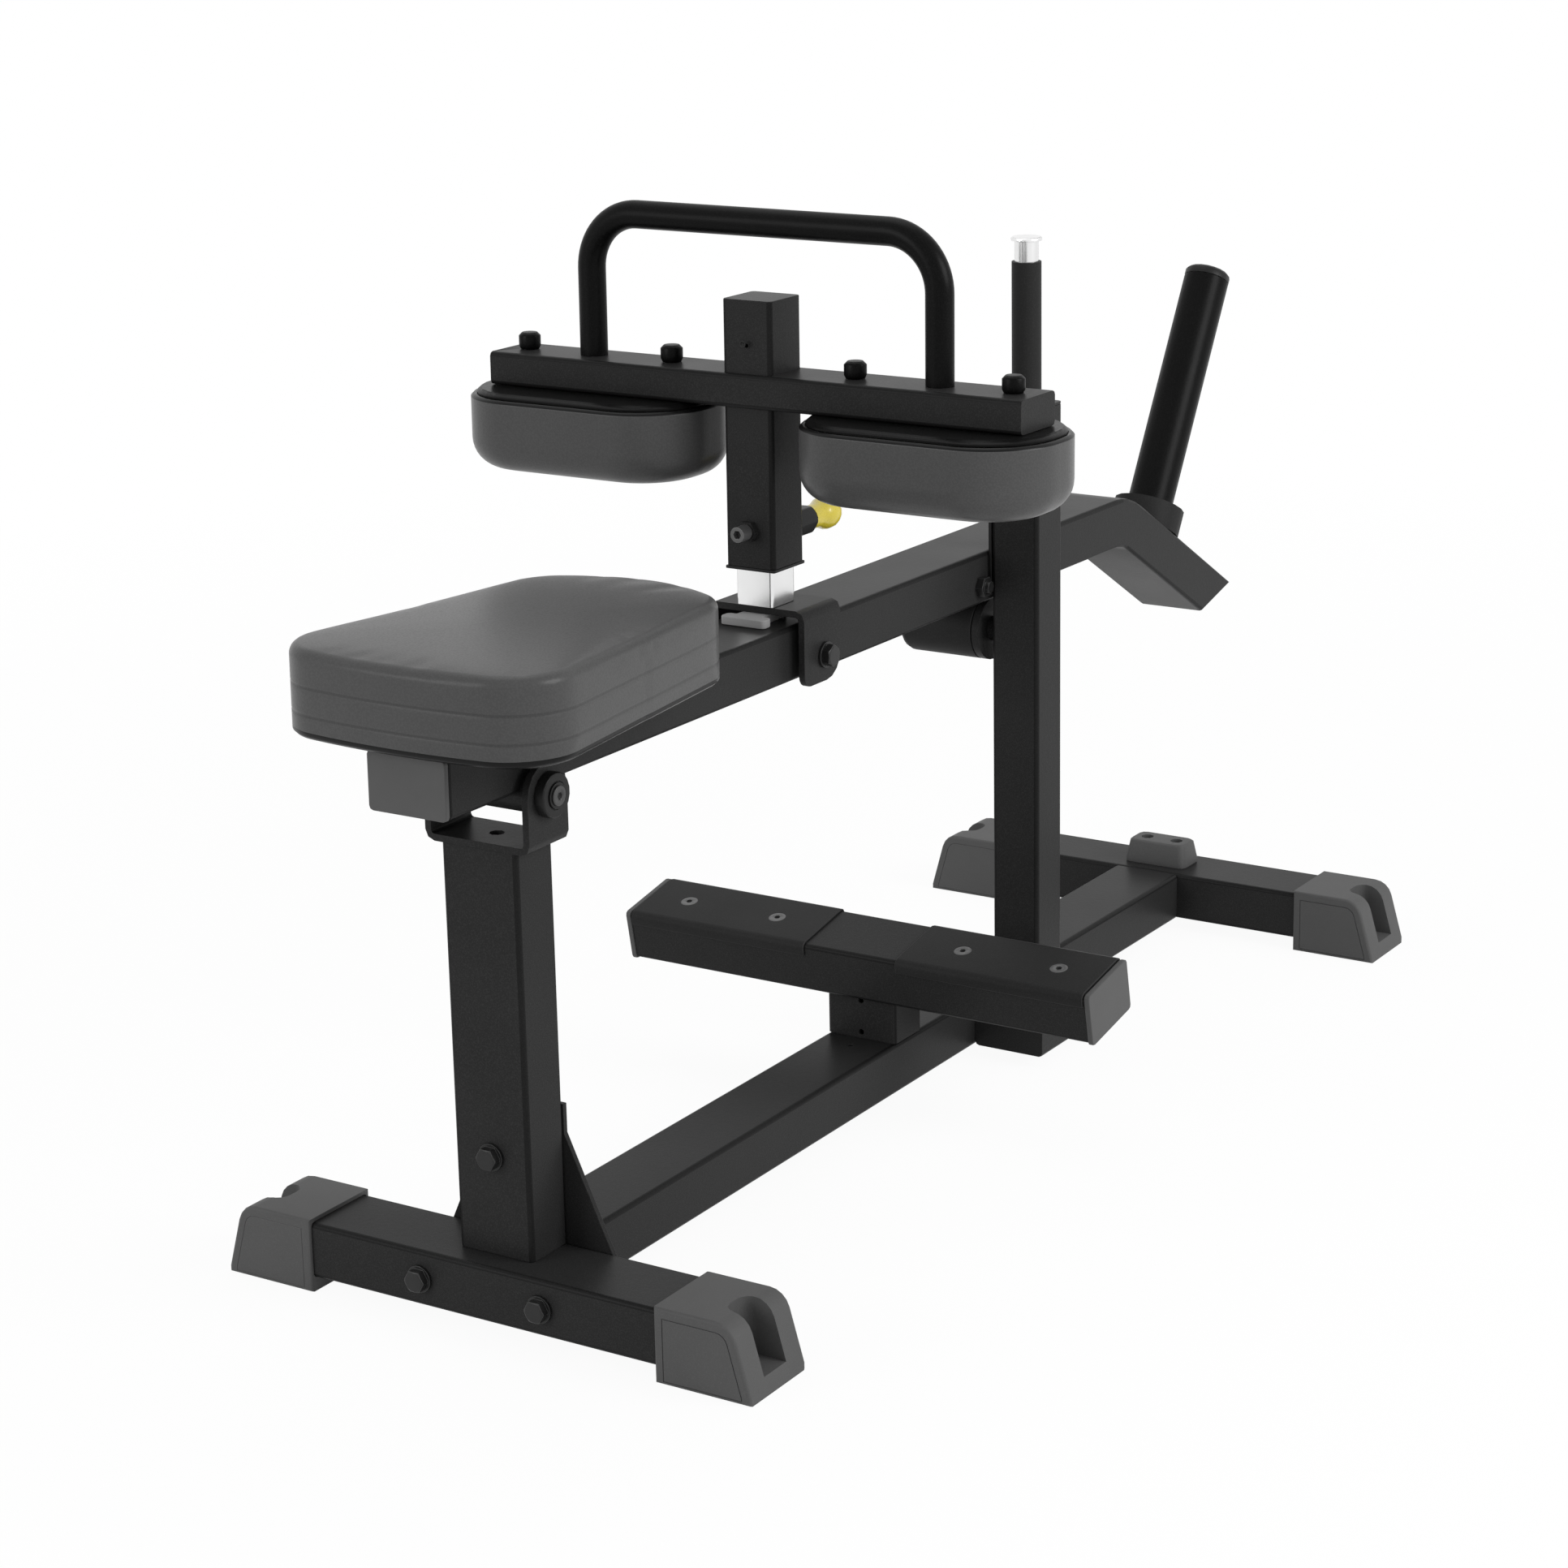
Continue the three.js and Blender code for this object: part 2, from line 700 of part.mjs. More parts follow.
function add_foot_bar() {
  const bar = new THREE.Group();
  bar.position.set(0, foot_bar_y, foot_bar_z);
  bar.rotation.x = foot_bar_tilt;
  machine.add(bar);

  const tube = square_tube(tube_width, tube_height, tube_wall, tube_corner, 2 * foot_bar_half, 'x');
  const screw_places = grip_screw_x.flatMap((x) => [-x, x]);
  const bores = screw_places.map((x) => rod(grip_screw_shank + 2 * gap, tube_height, 'z', small_segments)
    .translate([x, 0, tube_height / 2]));
  place(bar, 'foot_bar', 'black_paint', cut(tube, bores));

  const cap_shape = rounded_rectangle(tube_width + grip_thick, tube_height + grip_thick, tube_corner);
  const cap_face = pushed(cap_shape, bar_cap_thick, 'x', corner_segments, bar_cap_edge)
    .translate([gap + bar_cap_thick / 2, 0, 0]);
  const plug = pushed(plug_shape(), overrun, 'x').translate([bite - overrun / 2, 0, 0]);

  const grip_middle = (grip_inner + grip_outer) / 2;
  const outer = rounded_rectangle(
    tube_width + 2 * grip_thick, tube_height + 2 * grip_thick, tube_corner + grip_thick);
  const inner = rounded_rectangle(tube_width + 2 * gap, tube_height + 2 * gap, tube_corner + gap);
  const wrap = pushed(with_hole(outer, inner), grip_outer - grip_inner, 'x');
  const below = pushed(rectangle(tube_width * 2, tube_height * 2), grip_outer * 2, 'x')
    .translate([0, 0, -tube_height / 2 - grip_lip]);
  const sinks = grip_screw_x.map((x) => rod(grip_screw_d + 2 * gap, tube_height, 'z')
    .translate([x - grip_middle, 0, tube_height / 2]));
  const shell = cut(wrap, [below, ...sinks]);
  for (const [side, way] of sides) {
    const turn = [0, 0, way > 0 ? 0 : half_turn];
    place(bar, `foot_bar_cap_${side}`, 'grey_plastic', joined([cap_face, plug]),
      [way * foot_bar_half, 0, 0], turn);
    place(bar, `foot_grip_${side}`, 'black_rubber', shell, [way * grip_middle, 0, 0], turn);
  }

  // The post under the bar, cut to the slope of the bar
  const post_low = base_top + gap;
  const tall = 2 * foot_bar_z;
  const post = square_tube(tube_width, post_depth, tube_wall, tube_corner, tall, 'z')
    .translate([0, foot_post_middle, post_low + tall / 2]);
  const slope = THREE.MathUtils.radToDeg(foot_bar_tilt);
  const above = pushed(rectangle(tube_width * 4, tall * 2), tube_width * 2, 'x')
    .translate([0, 0, tall - tube_height / 2 - gap])
    .rotate([slope, 0, 0])
    .translate([0, foot_bar_y, foot_bar_z]);
  const holes = foot_post_hole_z.map((z) => rod(foot_post_hole, post_depth, 'y', small_segments)
    .translate([0, foot_post_middle - post_depth / 2, z]));
  place(machine, 'foot_bar_post', 'black_paint', cut(post, [above, ...holes]));
}

function add_rear_post() {
  const stub_x = tube_width / 2 + gap + stub_width / 2;
  const stub = square_tube(stub_width, tube_height, tube_wall, tube_corner, stub_length, 'y');
  const end_shape = rounded_rectangle(stub_width, tube_height, tube_corner);
  const ends = [-1, 1].map((way) => pushed(end_shape, stub_end_cap, 'y')
    .translate([0, way * (stub_length + stub_end_cap) / 2, 0]));
  const stub_bore = rod(stub_hole, 4 * stub_end_cap, 'y', small_segments)
    .translate([0, -stub_length / 2, stub_hole_up]);
  place(machine, 'rear_post_stub', 'black_paint', cut(joined([stub, ...ends]), [stub_bore]),
    [stub_x, catch_y, base_middle]);

  const bottom = base_top + gap;
  const middle = (bottom + rear_post_top) / 2;
  const arm_z = catch_arm_z();
  const tube = square_tube(rear_post_width, rear_post_width, tube_wall, tube_corner,
    rear_post_top - bottom, 'z');
  const slot_height = catch_arm_d + 2 * arm_clearance;
  const reach = rear_post_width;
  const left_slot = pushed(rectangle(reach, slot_height), reach, 'x')
    .translate([-reach / 2, reach / 2 - slot_height / 2, arm_z - middle]);
  const rear_slot = pushed(rectangle(reach, slot_height), reach, 'y')
    .translate([slot_height / 2 + arm_overswing - reach / 2, reach / 2, arm_z - middle]);
  place(machine, 'rear_post', 'black_paint', cut(tube, [left_slot, rear_slot]),
    [catch_x, catch_y, middle]);

  const inside = rear_post_width - 2 * tube_wall - 2 * gap;
  const lip = pushed(rounded_rectangle(rear_post_width, rear_post_width, tube_corner), bush_lip, 'z')
    .translate([0, 0, rear_post_top + gap + bush_lip / 2]);
  const body = pushed(rounded_rectangle(inside, inside, tube_corner / 2), bush_depth, 'z')
    .translate([0, 0, rear_post_top - bush_depth / 2 + bite]);
  const bore = rod(catch_rod_d + 2 * gap, 3 * rear_post_top, 'z');
  place(machine, 'rear_post_bush', 'black_plastic', cut(joined([lip, body]), [bore]),
    [catch_x, catch_y, 0]);
  const low = pushed(rounded_rectangle(inside, inside, tube_corner / 2), low_bush_depth, 'z')
    .translate([0, 0, arm_z - low_bush_drop - low_bush_depth / 2]);
  place(machine, 'rear_post_low_bush', 'black_plastic', cut(low, [bore]), [catch_x, catch_y, 0]);

  const guide = pushed(rectangle(rear_post_width, guide_top - guide_bottom), guide_thick, 'x');
  place(machine, 'rear_post_guide', 'black_plastic', guide, [
    catch_x - rear_post_width / 2 - gap - guide_thick / 2,
    catch_y,
    (guide_top + guide_bottom) / 2,
  ]);
}

// The catch stands under the lever, low enough for its sleeve to swing out below the slope
function catch_arm_z() {
  const lever_underside = pivot_z + beam_bottom - (catch_y - pivot_y) * lever_slope;
  const swing_room = lever_slope * (catch_x - catch_sleeve_left);
  return lever_underside - gap - swing_room - catch_sleeve_d / 2;
}

function add_catch() {
  const arm_z = catch_arm_z();
  const rod_bottom = arm_z - low_bush_drop - low_bush_depth;
  const rod_height = catch_rod_top + catch_head_thick / 2 - rod_bottom;
  const shaft = rod(catch_rod_d, rod_height, 'z').translate([0, 0, rod_bottom + rod_height / 2]);
  const head = turned([
    [0, 0],
    [catch_head_d / 2, 0],
    [catch_head_d / 2, catch_head_thick - catch_head_edge],
    [catch_head_d / 2 - catch_head_edge, catch_head_thick],
    [0, catch_head_thick],
  ], 'z').translate([0, 0, catch_rod_top]);
  place(machine, 'catch_rod', 'chrome', joined([shaft, head]), [catch_x, catch_y, 0]);

  const grip_height = catch_grip_top - catch_grip_bottom;
  const grip = ring(catch_grip_d, catch_rod_d + 2 * gap, grip_height, 'z');
  place(machine, 'catch_grip', 'black_rubber', grip,
    [catch_x, catch_y, (catch_grip_top + catch_grip_bottom) / 2]);

  const arm_left = catch_sleeve_left - catch_x + catch_sleeve_edge;
  const arm = rod(catch_arm_d, -arm_left, 'x').translate([arm_left / 2, 0, 0]);
  const flange_middle = (catch_flange_left + catch_flange_right) / 2 - catch_x;
  const flange = rod(catch_sleeve_d, catch_flange_right - catch_flange_left, 'x', wide_segments)
    .translate([flange_middle, 0, 0]);
  const hub = rod(catch_hub_d, catch_arm_d, 'z');
  const rod_room = rod(catch_rod_d + 2 * gap, 2 * catch_hub_d, 'z');
  place(machine, 'catch_arm', 'black_paint', cut(joined([arm, flange, hub]), [rod_room]),
    [catch_x, catch_y, arm_z]);

  const radius = catch_sleeve_d / 2;
  const length = catch_sleeve_right - catch_sleeve_left;
  const sleeve = turned([
    [0, 0],
    [radius, 0],
    [radius, length - catch_sleeve_edge],
    [radius - edge_share * catch_sleeve_edge, length - edge_share * catch_sleeve_edge],
    [radius - catch_sleeve_edge, length],
    [0, length],
  ], 'x', wide_segments).rotate([0, 0, 180]);
  const core = rod(catch_arm_d + 2 * gap, 2 * (length - catch_sleeve_edge + gap), 'x');
  place(machine, 'catch_sleeve', 'black_rubber', cut(sleeve, [core]),
    [catch_sleeve_right, catch_y, arm_z]);
}

function add_rear_stop() {
  const levels = [
    { width: stop_width, depth: stop_depth, z: 0 },
    { width: stop_width, depth: stop_depth, z: stop_skirt },
    { width: stop_top_width + stop_edge, depth: stop_top_depth + stop_edge, z: stop_height - stop_edge },
    { width: stop_top_width - stop_edge, depth: stop_top_depth - stop_edge, z: stop_height },
  ];
  const block = stacked(levels.map(({ width, depth, z }) => ({
    z,
    points: rounded_rectangle(width, depth, stop_corner).getPoints(corner_segments),
  })));
  const bores = [-1, 1].flatMap((side) => {
    const bore = rod(stop_bore, stop_height, 'z', small_segments)
      .translate([side * stop_bore_x, 0, stop_bore_floor + stop_height / 2]);
    const shank = rod(stop_bore / 2, stop_height, 'z', small_segments)
      .translate([side * stop_bore_x, 0, 0]);
    return [bore, shank];
  });
  place(machine, 'rear_stop', 'grey_rubber', cut(block, bores), [0, rear_tube_middle, base_top + gap]);
}

// A closed body from outlines of equal point count, stacked from bottom to top
function stacked(levels) {
  const rings = levels.map(({ z, points }) => {
    const last = points[points.length - 1];
    const closed = last.distanceTo(points[0]) < same_place;
    return (closed ? points.slice(0, -1) : points).map((point) => [point.x, point.y, z]);
  });
  const count = rings[0].length;
  const positions = rings.flat(2);
  const middle_of = (row) => {
    const sum = row.reduce((total, point) => [total[0] + point[0], total[1] + point[1]], [0, 0]);
    return [sum[0] / count, sum[1] / count, row[0][2]];
  };
  positions.push(...middle_of(rings[0]), ...middle_of(rings[rings.length - 1]));
  const low_centre = rings.length * count;
  const high_centre = low_centre + 1;
  const high_row = (rings.length - 1) * count;
  const faces = [];
  for (let i = 0; i < count; i += 1) {
    const next = (i + 1) % count;
    faces.push(low_centre, next, i);
    faces.push(high_centre, high_row + i, high_row + next);
    for (let row = 0; row < high_row; row += count) {
      faces.push(row + i, row + next, row + count + next);
      faces.push(row + i, row + count + next, row + count + i);
    }
  }
  return solid_of(positions, faces);
}

// lever
const lever = new THREE.Group();
lever.position.set(0, pivot_y, pivot_z);
lever.rotation.x = -lever_slope;
machine.add(lever);

// A point in (y, z) beyond the bend, a given way down the leg, off the arc of the given radius
function leg_point(radius, way) {
  const angle = quarter - bend_angle;
  const y = bend_start + radius * Math.cos(angle) + way * Math.sin(angle);
  const z = beam_top - bend_outer + radius * Math.sin(angle) - way * Math.cos(angle);
  return [y, z];
}

function beam_outline(inset, past_front, past_end) {
  const centre_z = beam_top - bend_outer;
  const angle = quarter - bend_angle;
  const inner = bend_inner + inset;
  const outer = bend_outer - inset;
  const shape = new THREE.Shape();
  shape.moveTo(beam_front - past_front, beam_bottom + inset);
  shape.lineTo(bend_start, beam_bottom + inset);
  shape.absarc(bend_start, centre_z, inner, quarter, angle, true);
  shape.lineTo(...leg_point(inner, leg_top_length - tube_height + past_end + inset));
  shape.lineTo(...leg_point(outer, leg_top_length + past_end - inset));
  shape.absarc(bend_start, centre_z, outer, angle, quarter, false);
  shape.lineTo(beam_front - past_front, beam_top - inset);
  shape.closePath();
  return shape;
}

function add_beam() {
  // The sloping end is cut at 45 degrees to the leg and closed by a welded plate
  const end_way = leg_end_plate * Math.SQRT2;
  const body = pushed(beam_outline(0, 0, end_way), tube_width, 'x', curve_segments, beam_edge);
  const hollow = pushed(beam_outline(tube_wall, overrun, 0), tube_width - 2 * tube_wall, 'x', curve_segments);
  const knee_bore = bolt_bore(2 * tube_width, 'x', round_segments).translate([0, knee_y, knee_z]);
  const cross_bore = bolt_bore(2 * tube_width, 'x').translate([0, cross_bolt_y, cross_bolt_z]);
  const seat_bores = seat_bolt_y.map((y) => bolt_bore(4 * tube_height, 'z').translate([0, y, 0]));
  const beam = cut(body, [hollow, knee_bore, cross_bore, ...seat_bores]);
  const pivot_tube = rod(pivot_tube_d, 2 * (bracket_half - bracket_plate - pivot_tube_room), 'x');
  const pivot_bore = rod(pivot_pin_d + 2 * gap, 2 * bracket_half, 'x');
  place(lever, 'lever_beam', 'black_paint', cut(joined([beam, pivot_tube]), [pivot_bore]));

  const cap_shape = rounded_rectangle(tube_width + 2 * beam_cap_out, tube_height, tube_corner);
  const cap_face = pushed(cap_shape, beam_cap_thick, 'y', 1, beam_cap_edge);
  const plug = pushed(plug_shape(), overrun, 'y').translate([0, overrun / 2, 0]);
  place(lever, 'lever_front_cap', 'grey_plastic', joined([cap_face, plug]),
    [0, beam_front - gap - beam_cap_thick / 2, (beam_bottom + beam_top) / 2]);

  const nut = pushed(hexagon(hex_across), hex_height, 'x');
  const nut_x = tube_width / 2 + gap + hex_height / 2;
  const nuts = [-1, 1].map((way) => nut.translate([way * nut_x, 0, 0]));
  const bolt_length = tube_width + 2 * (gap + hex_height + cross_bolt_out);
  const shank = rod(bolt_shank_d, bolt_length, 'x', small_segments);
  place(lever, 'cross_bolt', 'black_bolt', joined([shank, ...nuts]), [0, cross_bolt_y, cross_bolt_z]);
}

function add_horn() {
  const horn = new THREE.Group();
  const [y, z] = leg_point(bend_outer, horn_place);
  horn.position.set(0, y, z);
  horn.rotation.x = -bend_angle;
  lever.add(horn);

  const height = horn_length - horn_cap_thick - 2 * gap;
  place(horn, 'weight_horn', 'black_paint', ring(horn_d, horn_d - 2 * horn_wall, height, 'z'),
    [0, 0, gap + height / 2]);
  place(horn, 'horn_collar', 'black_rubber', ring(collar_d, horn_d + 2 * gap, collar_thick - gap, 'z'),
    [0, 0, (collar_thick + gap) / 2]);
  const radius = horn_d / 2;
  const plug_radius = radius - horn_wall - 2 * gap;
  const cap = turned([
    [0, -overrun],
    [plug_radius, -overrun],
    [plug_radius, 0],
    [radius, 0],
    [radius, horn_cap_thick - horn_cap_edge],
    [radius - horn_cap_edge, horn_cap_thick],
    [0, horn_cap_thick],
  ], 'z');
  place(horn, 'horn_cap', 'black_plastic', cap, [0, 0, horn_length - horn_cap_thick]);
}

// soft forms
function arc_points(centre_x, centre_y, radius, from, to, steps) {
  const points = [];
  for (let i = 0; i <= steps; i += 1) {
    const angle = from + (to - from) * i / steps;
    points.push(new THREE.Vector2(
      centre_x + radius * Math.cos(angle),
      centre_y + radius * Math.sin(angle),
    ));
  }
  return points;
}

// The seat seen from above: four corner arcs, wide in front and narrow behind
function seat_outline(inset) {
  const length = seat_rear_y - seat_front_y;
  const narrowing = seat_front_x - seat_rear_x;
  const side = Math.atan(narrowing / length)
    + Math.asin((seat_front_r - seat_rear_r) / Math.hypot(length, narrowing));
  const front = seat_front_r - inset;
  const rear = seat_rear_r - inset;
  return [
    ...arc_points(seat_front_x, seat_front_y, front, -quarter, side, corner_steps),
    ...arc_points(seat_rear_x, seat_rear_y, rear, side, quarter, corner_steps),
    ...arc_points(-seat_rear_x, seat_rear_y, rear, quarter, half_turn - side, corner_steps),
    ...arc_points(-seat_front_x, seat_front_y, front, half_turn - side, half_turn + quarter,
      corner_steps),
  ];
}

function pad_outline(inset) {
  const x = pad_half - pad_corner;
  const y = pad_half_depth - pad_corner;
  const radius = pad_corner - inset;
  return [
    ...arc_points(x, -y, radius, -quarter, 0, corner_steps),
    ...arc_points(x, y, radius, 0, quarter, corner_steps),
    ...arc_points(-x, y, radius, quarter, half_turn, corner_steps),
    ...arc_points(-x, -y, radius, half_turn, half_turn + quarter, corner_steps),
  ];
}

// A cushion over its outline: sides with seams, a rounded rim and a crown over the middle
function cushion(outline, { thick, low_edge, high_edge, crown, seams, seam_depth, draw }) {
  const levels = [
    { z: 0, points: outline(low_edge + draw) },
    { z: low_edge, points: outline(draw) },
  ];
  for (const seam of seams) {
    levels.push({ z: seam - seam_depth, points: outline(0) });
    levels.push({ z: seam, points: outline(seam_depth) });
    levels.push({ z: seam + seam_depth, points: outline(0) });
  }
  const rim_z = thick - crown - high_edge;
  for (let i = 0; i <= rim_steps; i += 1) {
    const angle = quarter * i / rim_steps;
    const inset = high_edge * (1 - Math.cos(angle));
    levels.push({ z: rim_z + high_edge * Math.sin(angle), points: outline(inset) });
  }
  const rim = outline(high_edge);
  const middle = new THREE.Vector2();
  for (const point of rim) {
    middle.addScaledVector(point, 1 / rim.length);
  }
  for (const share of crown_shares) {
    const points = rim.map((point) => point.clone().lerp(middle, 1 - share));
    levels.push({ z: thick - crown * share * share, points });
  }
  return stacked(levels);
}

function add_seat() {
  const board_z = beam_top + gap;
  const board = stacked([
    { z: board_z, points: seat_outline(seat_board_inset + seat_board_edge) },
    { z: board_z + seat_board_edge, points: seat_outline(seat_board_inset) },
    { z: board_z + seat_board_thick, points: seat_outline(seat_board_inset) },
  ]);
  const bolts = seat_bolt_y.map((y) => bolt(tube_height + 2 * gap + bite)
    .rotate([180, 0, 0])
    .translate([0, y, beam_bottom - gap]));
  place(lever, 'seat_board', 'board', joined([board, ...bolts]));

  place(lever, 'seat_cushion', 'vinyl', cushion(seat_outline, seat_form),
    [0, 0, board_z + seat_board_thick + gap]);
}

// A rubber rest for the knee bracket: a bar in front and a narrower tongue under the bracket
function add_knee_rest() {
  const top = knee_plate_top - knee_plate - gap;
  const bottom = beam_top + gap;
  const bar_shape = rounded_rectangle(2 * rest_half, rest_bar_depth, rest_corner);
  const bar = pushed(bar_shape, top - bottom, 'z', corner_segments, rest_edge);
  const tongue_depth = rest_depth - rest_bar_depth / 2;
  const tongue_shape = rounded_rectangle(rest_tongue_width, tongue_depth, rest_corner);
  const tongue = pushed(tongue_shape, top - bottom, 'z');
  const solid = joined([
    bar.translate([0, rest_bar_depth / 2, 0]),
    tongue.translate([0, (rest_bar_depth + tongue_depth) / 2, 0]),
  ]);
  place(lever, 'knee_rest_block', 'grey_rubber', solid, [0, rest_front, (top + bottom) / 2]);
}

// knee bracket and its post
function add_knee_bracket() {
  const half = knee_bracket_half;
  const plate = knee_plate;
  const corner = bracket_corner;
  const outline = new THREE.Shape();
  outline.moveTo(half, -overrun);
  outline.lineTo(half, knee_plate_top - corner);
  outline.absarc(half - corner, knee_plate_top - corner, corner, 0, quarter, false);
  outline.absarc(-half + corner, knee_plate_top - corner, corner, quarter, half_turn, false);
  outline.lineTo(-half, -overrun);
  outline.lineTo(-half + plate, -overrun);
  outline.absarc(-half + corner, knee_plate_top - corner, corner - plate, half_turn, quarter, true);
  outline.absarc(half - corner, knee_plate_top - corner, corner - plate, quarter, 0, true);
  outline.lineTo(half - plate, -overrun);
  outline.closePath();
  const middle = knee_bracket_front + knee_bracket_depth / 2;
  const channel = pushed(outline, knee_bracket_depth, 'y').translate([0, middle, 0]);

  const rear = knee_bracket_front + knee_bracket_depth;
  const side = new THREE.Shape();
  side.moveTo(knee_bracket_front, knee_plate_top + overrun);
  side.lineTo(knee_bracket_front, knee_ear_bottom + knee_ear_front_r);
  side.absarc(knee_bracket_front + knee_ear_front_r, knee_ear_bottom + knee_ear_front_r,
    knee_ear_front_r, half_turn, half_turn + quarter, false);
  side.absarc(rear - knee_ear_rear_r, knee_ear_bottom + knee_ear_rear_r,
    knee_ear_rear_r, -quarter, 0, false);
  side.lineTo(rear, knee_plate_top + overrun);
  side.closePath();
  const bore = bolt_bore(4 * half, 'x', round_segments).translate([0, knee_y, knee_z]);
  place(lever, 'knee_bracket', 'black_paint',
    cut(channel.intersect(pushed(side, 4 * half, 'x', curve_segments)), [bore]));

  const through = bolt_and_nut(2 * half + 2 * gap).rotate([0, 90, 0]).translate([half + gap, 0, 0]);
  const room = half - plate - tube_width / 2;
  const spacer = rod(spacer_d, room - 2 * gap, 'x');
  const spacers = [-1, 1].map((way) => spacer.translate([way * (tube_width + room) / 2, 0, 0]));
  place(lever, 'knee_pivot_bolt', 'black_bolt', joined([through, ...spacers]), [0, knee_y, knee_z]);

  const bottom = knee_plate_top + gap;
  const height = inner_post_top - bottom;
  const post = square_tube(inner_post_width, inner_post_width, inner_post_wall, inner_post_corner,
    height, 'z').translate([0, sleeve_y, bottom + height / 2]);
  const holes = inner_post_holes.map((z) => rod(inner_post_bore, inner_post_width, 'y', small_segments)
    .translate([0, sleeve_y + inner_post_width / 2, z]));
  place(lever, 'knee_post', 'chrome', cut(post, holes));
}

function add_sleeve() {
  const height = sleeve_top - sleeve_bottom;
  const tube = square_tube(sleeve_width, sleeve_width, sleeve_wall, sleeve_corner, height, 'z')
    .translate([0, sleeve_y, sleeve_bottom + height / 2]);
  const front = sleeve_y - sleeve_width / 2;
  const rear = sleeve_y + sleeve_width / 2;
  const small_hole = rod(sleeve_hole, sleeve_width / 2, 'y', small_segments)
    .translate([0, front, sleeve_hole_z]);
  const clamp_hole = rod(clamp_shank_d + 2 * gap, sleeve_width / 2, 'y', small_segments)
    .translate([0, front, clamp_z]);
  const pin_hole = rod(pin_rod_d + 2 * gap, sleeve_width / 2, 'y', small_segments)
    .translate([0, rear, pin_z]);
  const top_shape = rounded_rectangle(sleeve_width, sleeve_width, sleeve_corner);
  const top = pushed(top_shape, sleeve_cap_thick, 'z', corner_segments, sleeve_cap_edge)
    .translate([0, sleeve_y, sleeve_top + sleeve_cap_thick / 2 - sleeve_cap_edge]);
  const nut = pushed(hexagon(clamp_nut_across), clamp_nut_thick + bite, 'y')
    .translate([0, front + (bite - clamp_nut_thick) / 2, clamp_z]);
  place(lever, 'sleeve', 'black_paint',
    cut(joined([tube, top, nut]), [small_hole, clamp_hole, pin_hole]));

  const inside = sleeve_width - 2 * sleeve_wall - 2 * gap;
  const outside = sleeve_width + 2 * liner_lip_out;
  const body = pushed(rounded_rectangle(inside, inside, sleeve_corner / 2), liner_depth, 'z')
    .translate([0, sleeve_y, sleeve_bottom + liner_depth / 2 - gap]);
  const lip = pushed(rounded_rectangle(outside, outside, sleeve_corner / 2), liner_lip, 'z')
    .translate([0, sleeve_y, sleeve_bottom - gap - liner_lip / 2]);
  const room = inner_post_width + 2 * gap;
  const channel = pushed(rounded_rectangle(room, room, inner_post_corner), 4 * liner_depth, 'z')
    .translate([0, sleeve_y, sleeve_bottom]);
  place(lever, 'sleeve_liner', 'black_plastic',
    cut(joined([body, lip]), [channel, clamp_hole, pin_hole]));
}

function add_clamp() {
  const front = sleeve_y - sleeve_width / 2;
  const tip = sleeve_y - inner_post_width / 2 - 2 * gap;
  const head_front = front - clamp_nut_thick - gap - clamp_head_length;
  const shank_length = tip - head_front - clamp_head_length / 2;
  const screw = joined([
    rod(clamp_head_d, clamp_head_length, 'y').translate([0, head_front + clamp_head_length / 2, 0]),
    rod(clamp_shank_d, shank_length, 'y', small_segments).translate([0, tip - shank_length / 2, 0]),
  ]);
  const socket = pushed(hexagon(clamp_socket_d), clamp_head_length, 'y').translate([0, head_front, 0]);
  place(lever, 'clamp_screw', 'grey_bolt', cut(screw, [socket]), [0, 0, clamp_z]);
}

// The pull pin stands with its nose a hair from the post, between two of its holes
function add_pull_pin() {
  const body_start = sleeve_y + sleeve_width / 2 + gap;
  const half = pin_body_length / 2;
  const rim = pin_body_across / 2;
  const bore = rod(pin_rod_d + 2 * gap, 4 * pin_body_length, 'y', small_segments);
  const body = pushed(hexagon(pin_body_across), pin_body_length, 'y');
  const chamfer = turned([
    [0, -half],
    [rim - pin_body_edge, -half],
    [rim + pin_body_edge, 2 * pin_body_edge - half],
    [rim + pin_body_edge, pin_body_length],
    [0, pin_body_length],
  ], 'y');
  place(lever, 'pin_housing', 'black_plastic', cut(body.intersect(chamfer), [bore]),
    [0, body_start + half, pin_z]);

  const knob_start = body_start + pin_body_length + pin_gap;
  const nose = sleeve_y + inner_post_width / 2 + pin_gap;
  const rod_end = knob_start + pin_knob_length / 2;
  place(lever, 'pin_rod', 'chrome', rod(pin_rod_d, rod_end - nose, 'y', small_segments),
    [0, (rod_end + nose) / 2, pin_z]);
  const knob = turned(pin_knob_shares.map(([radius_share, length_share]) => [
    radius_share * pin_knob_d / 2,
    -length_share * pin_knob_length,
  ]), 'y');
  const rod_room = rod(pin_rod_d + 2 * gap, pin_knob_length + 2 * gap, 'y', small_segments);
  place(lever, 'pin_knob', 'yellow_plastic', cut(knob, [rod_room]), [0, knob_start, pin_z]);
}

function pad_bore(length) {
  return rod(pad_shank_d + 2 * gap, length, 'z', small_segments);
}

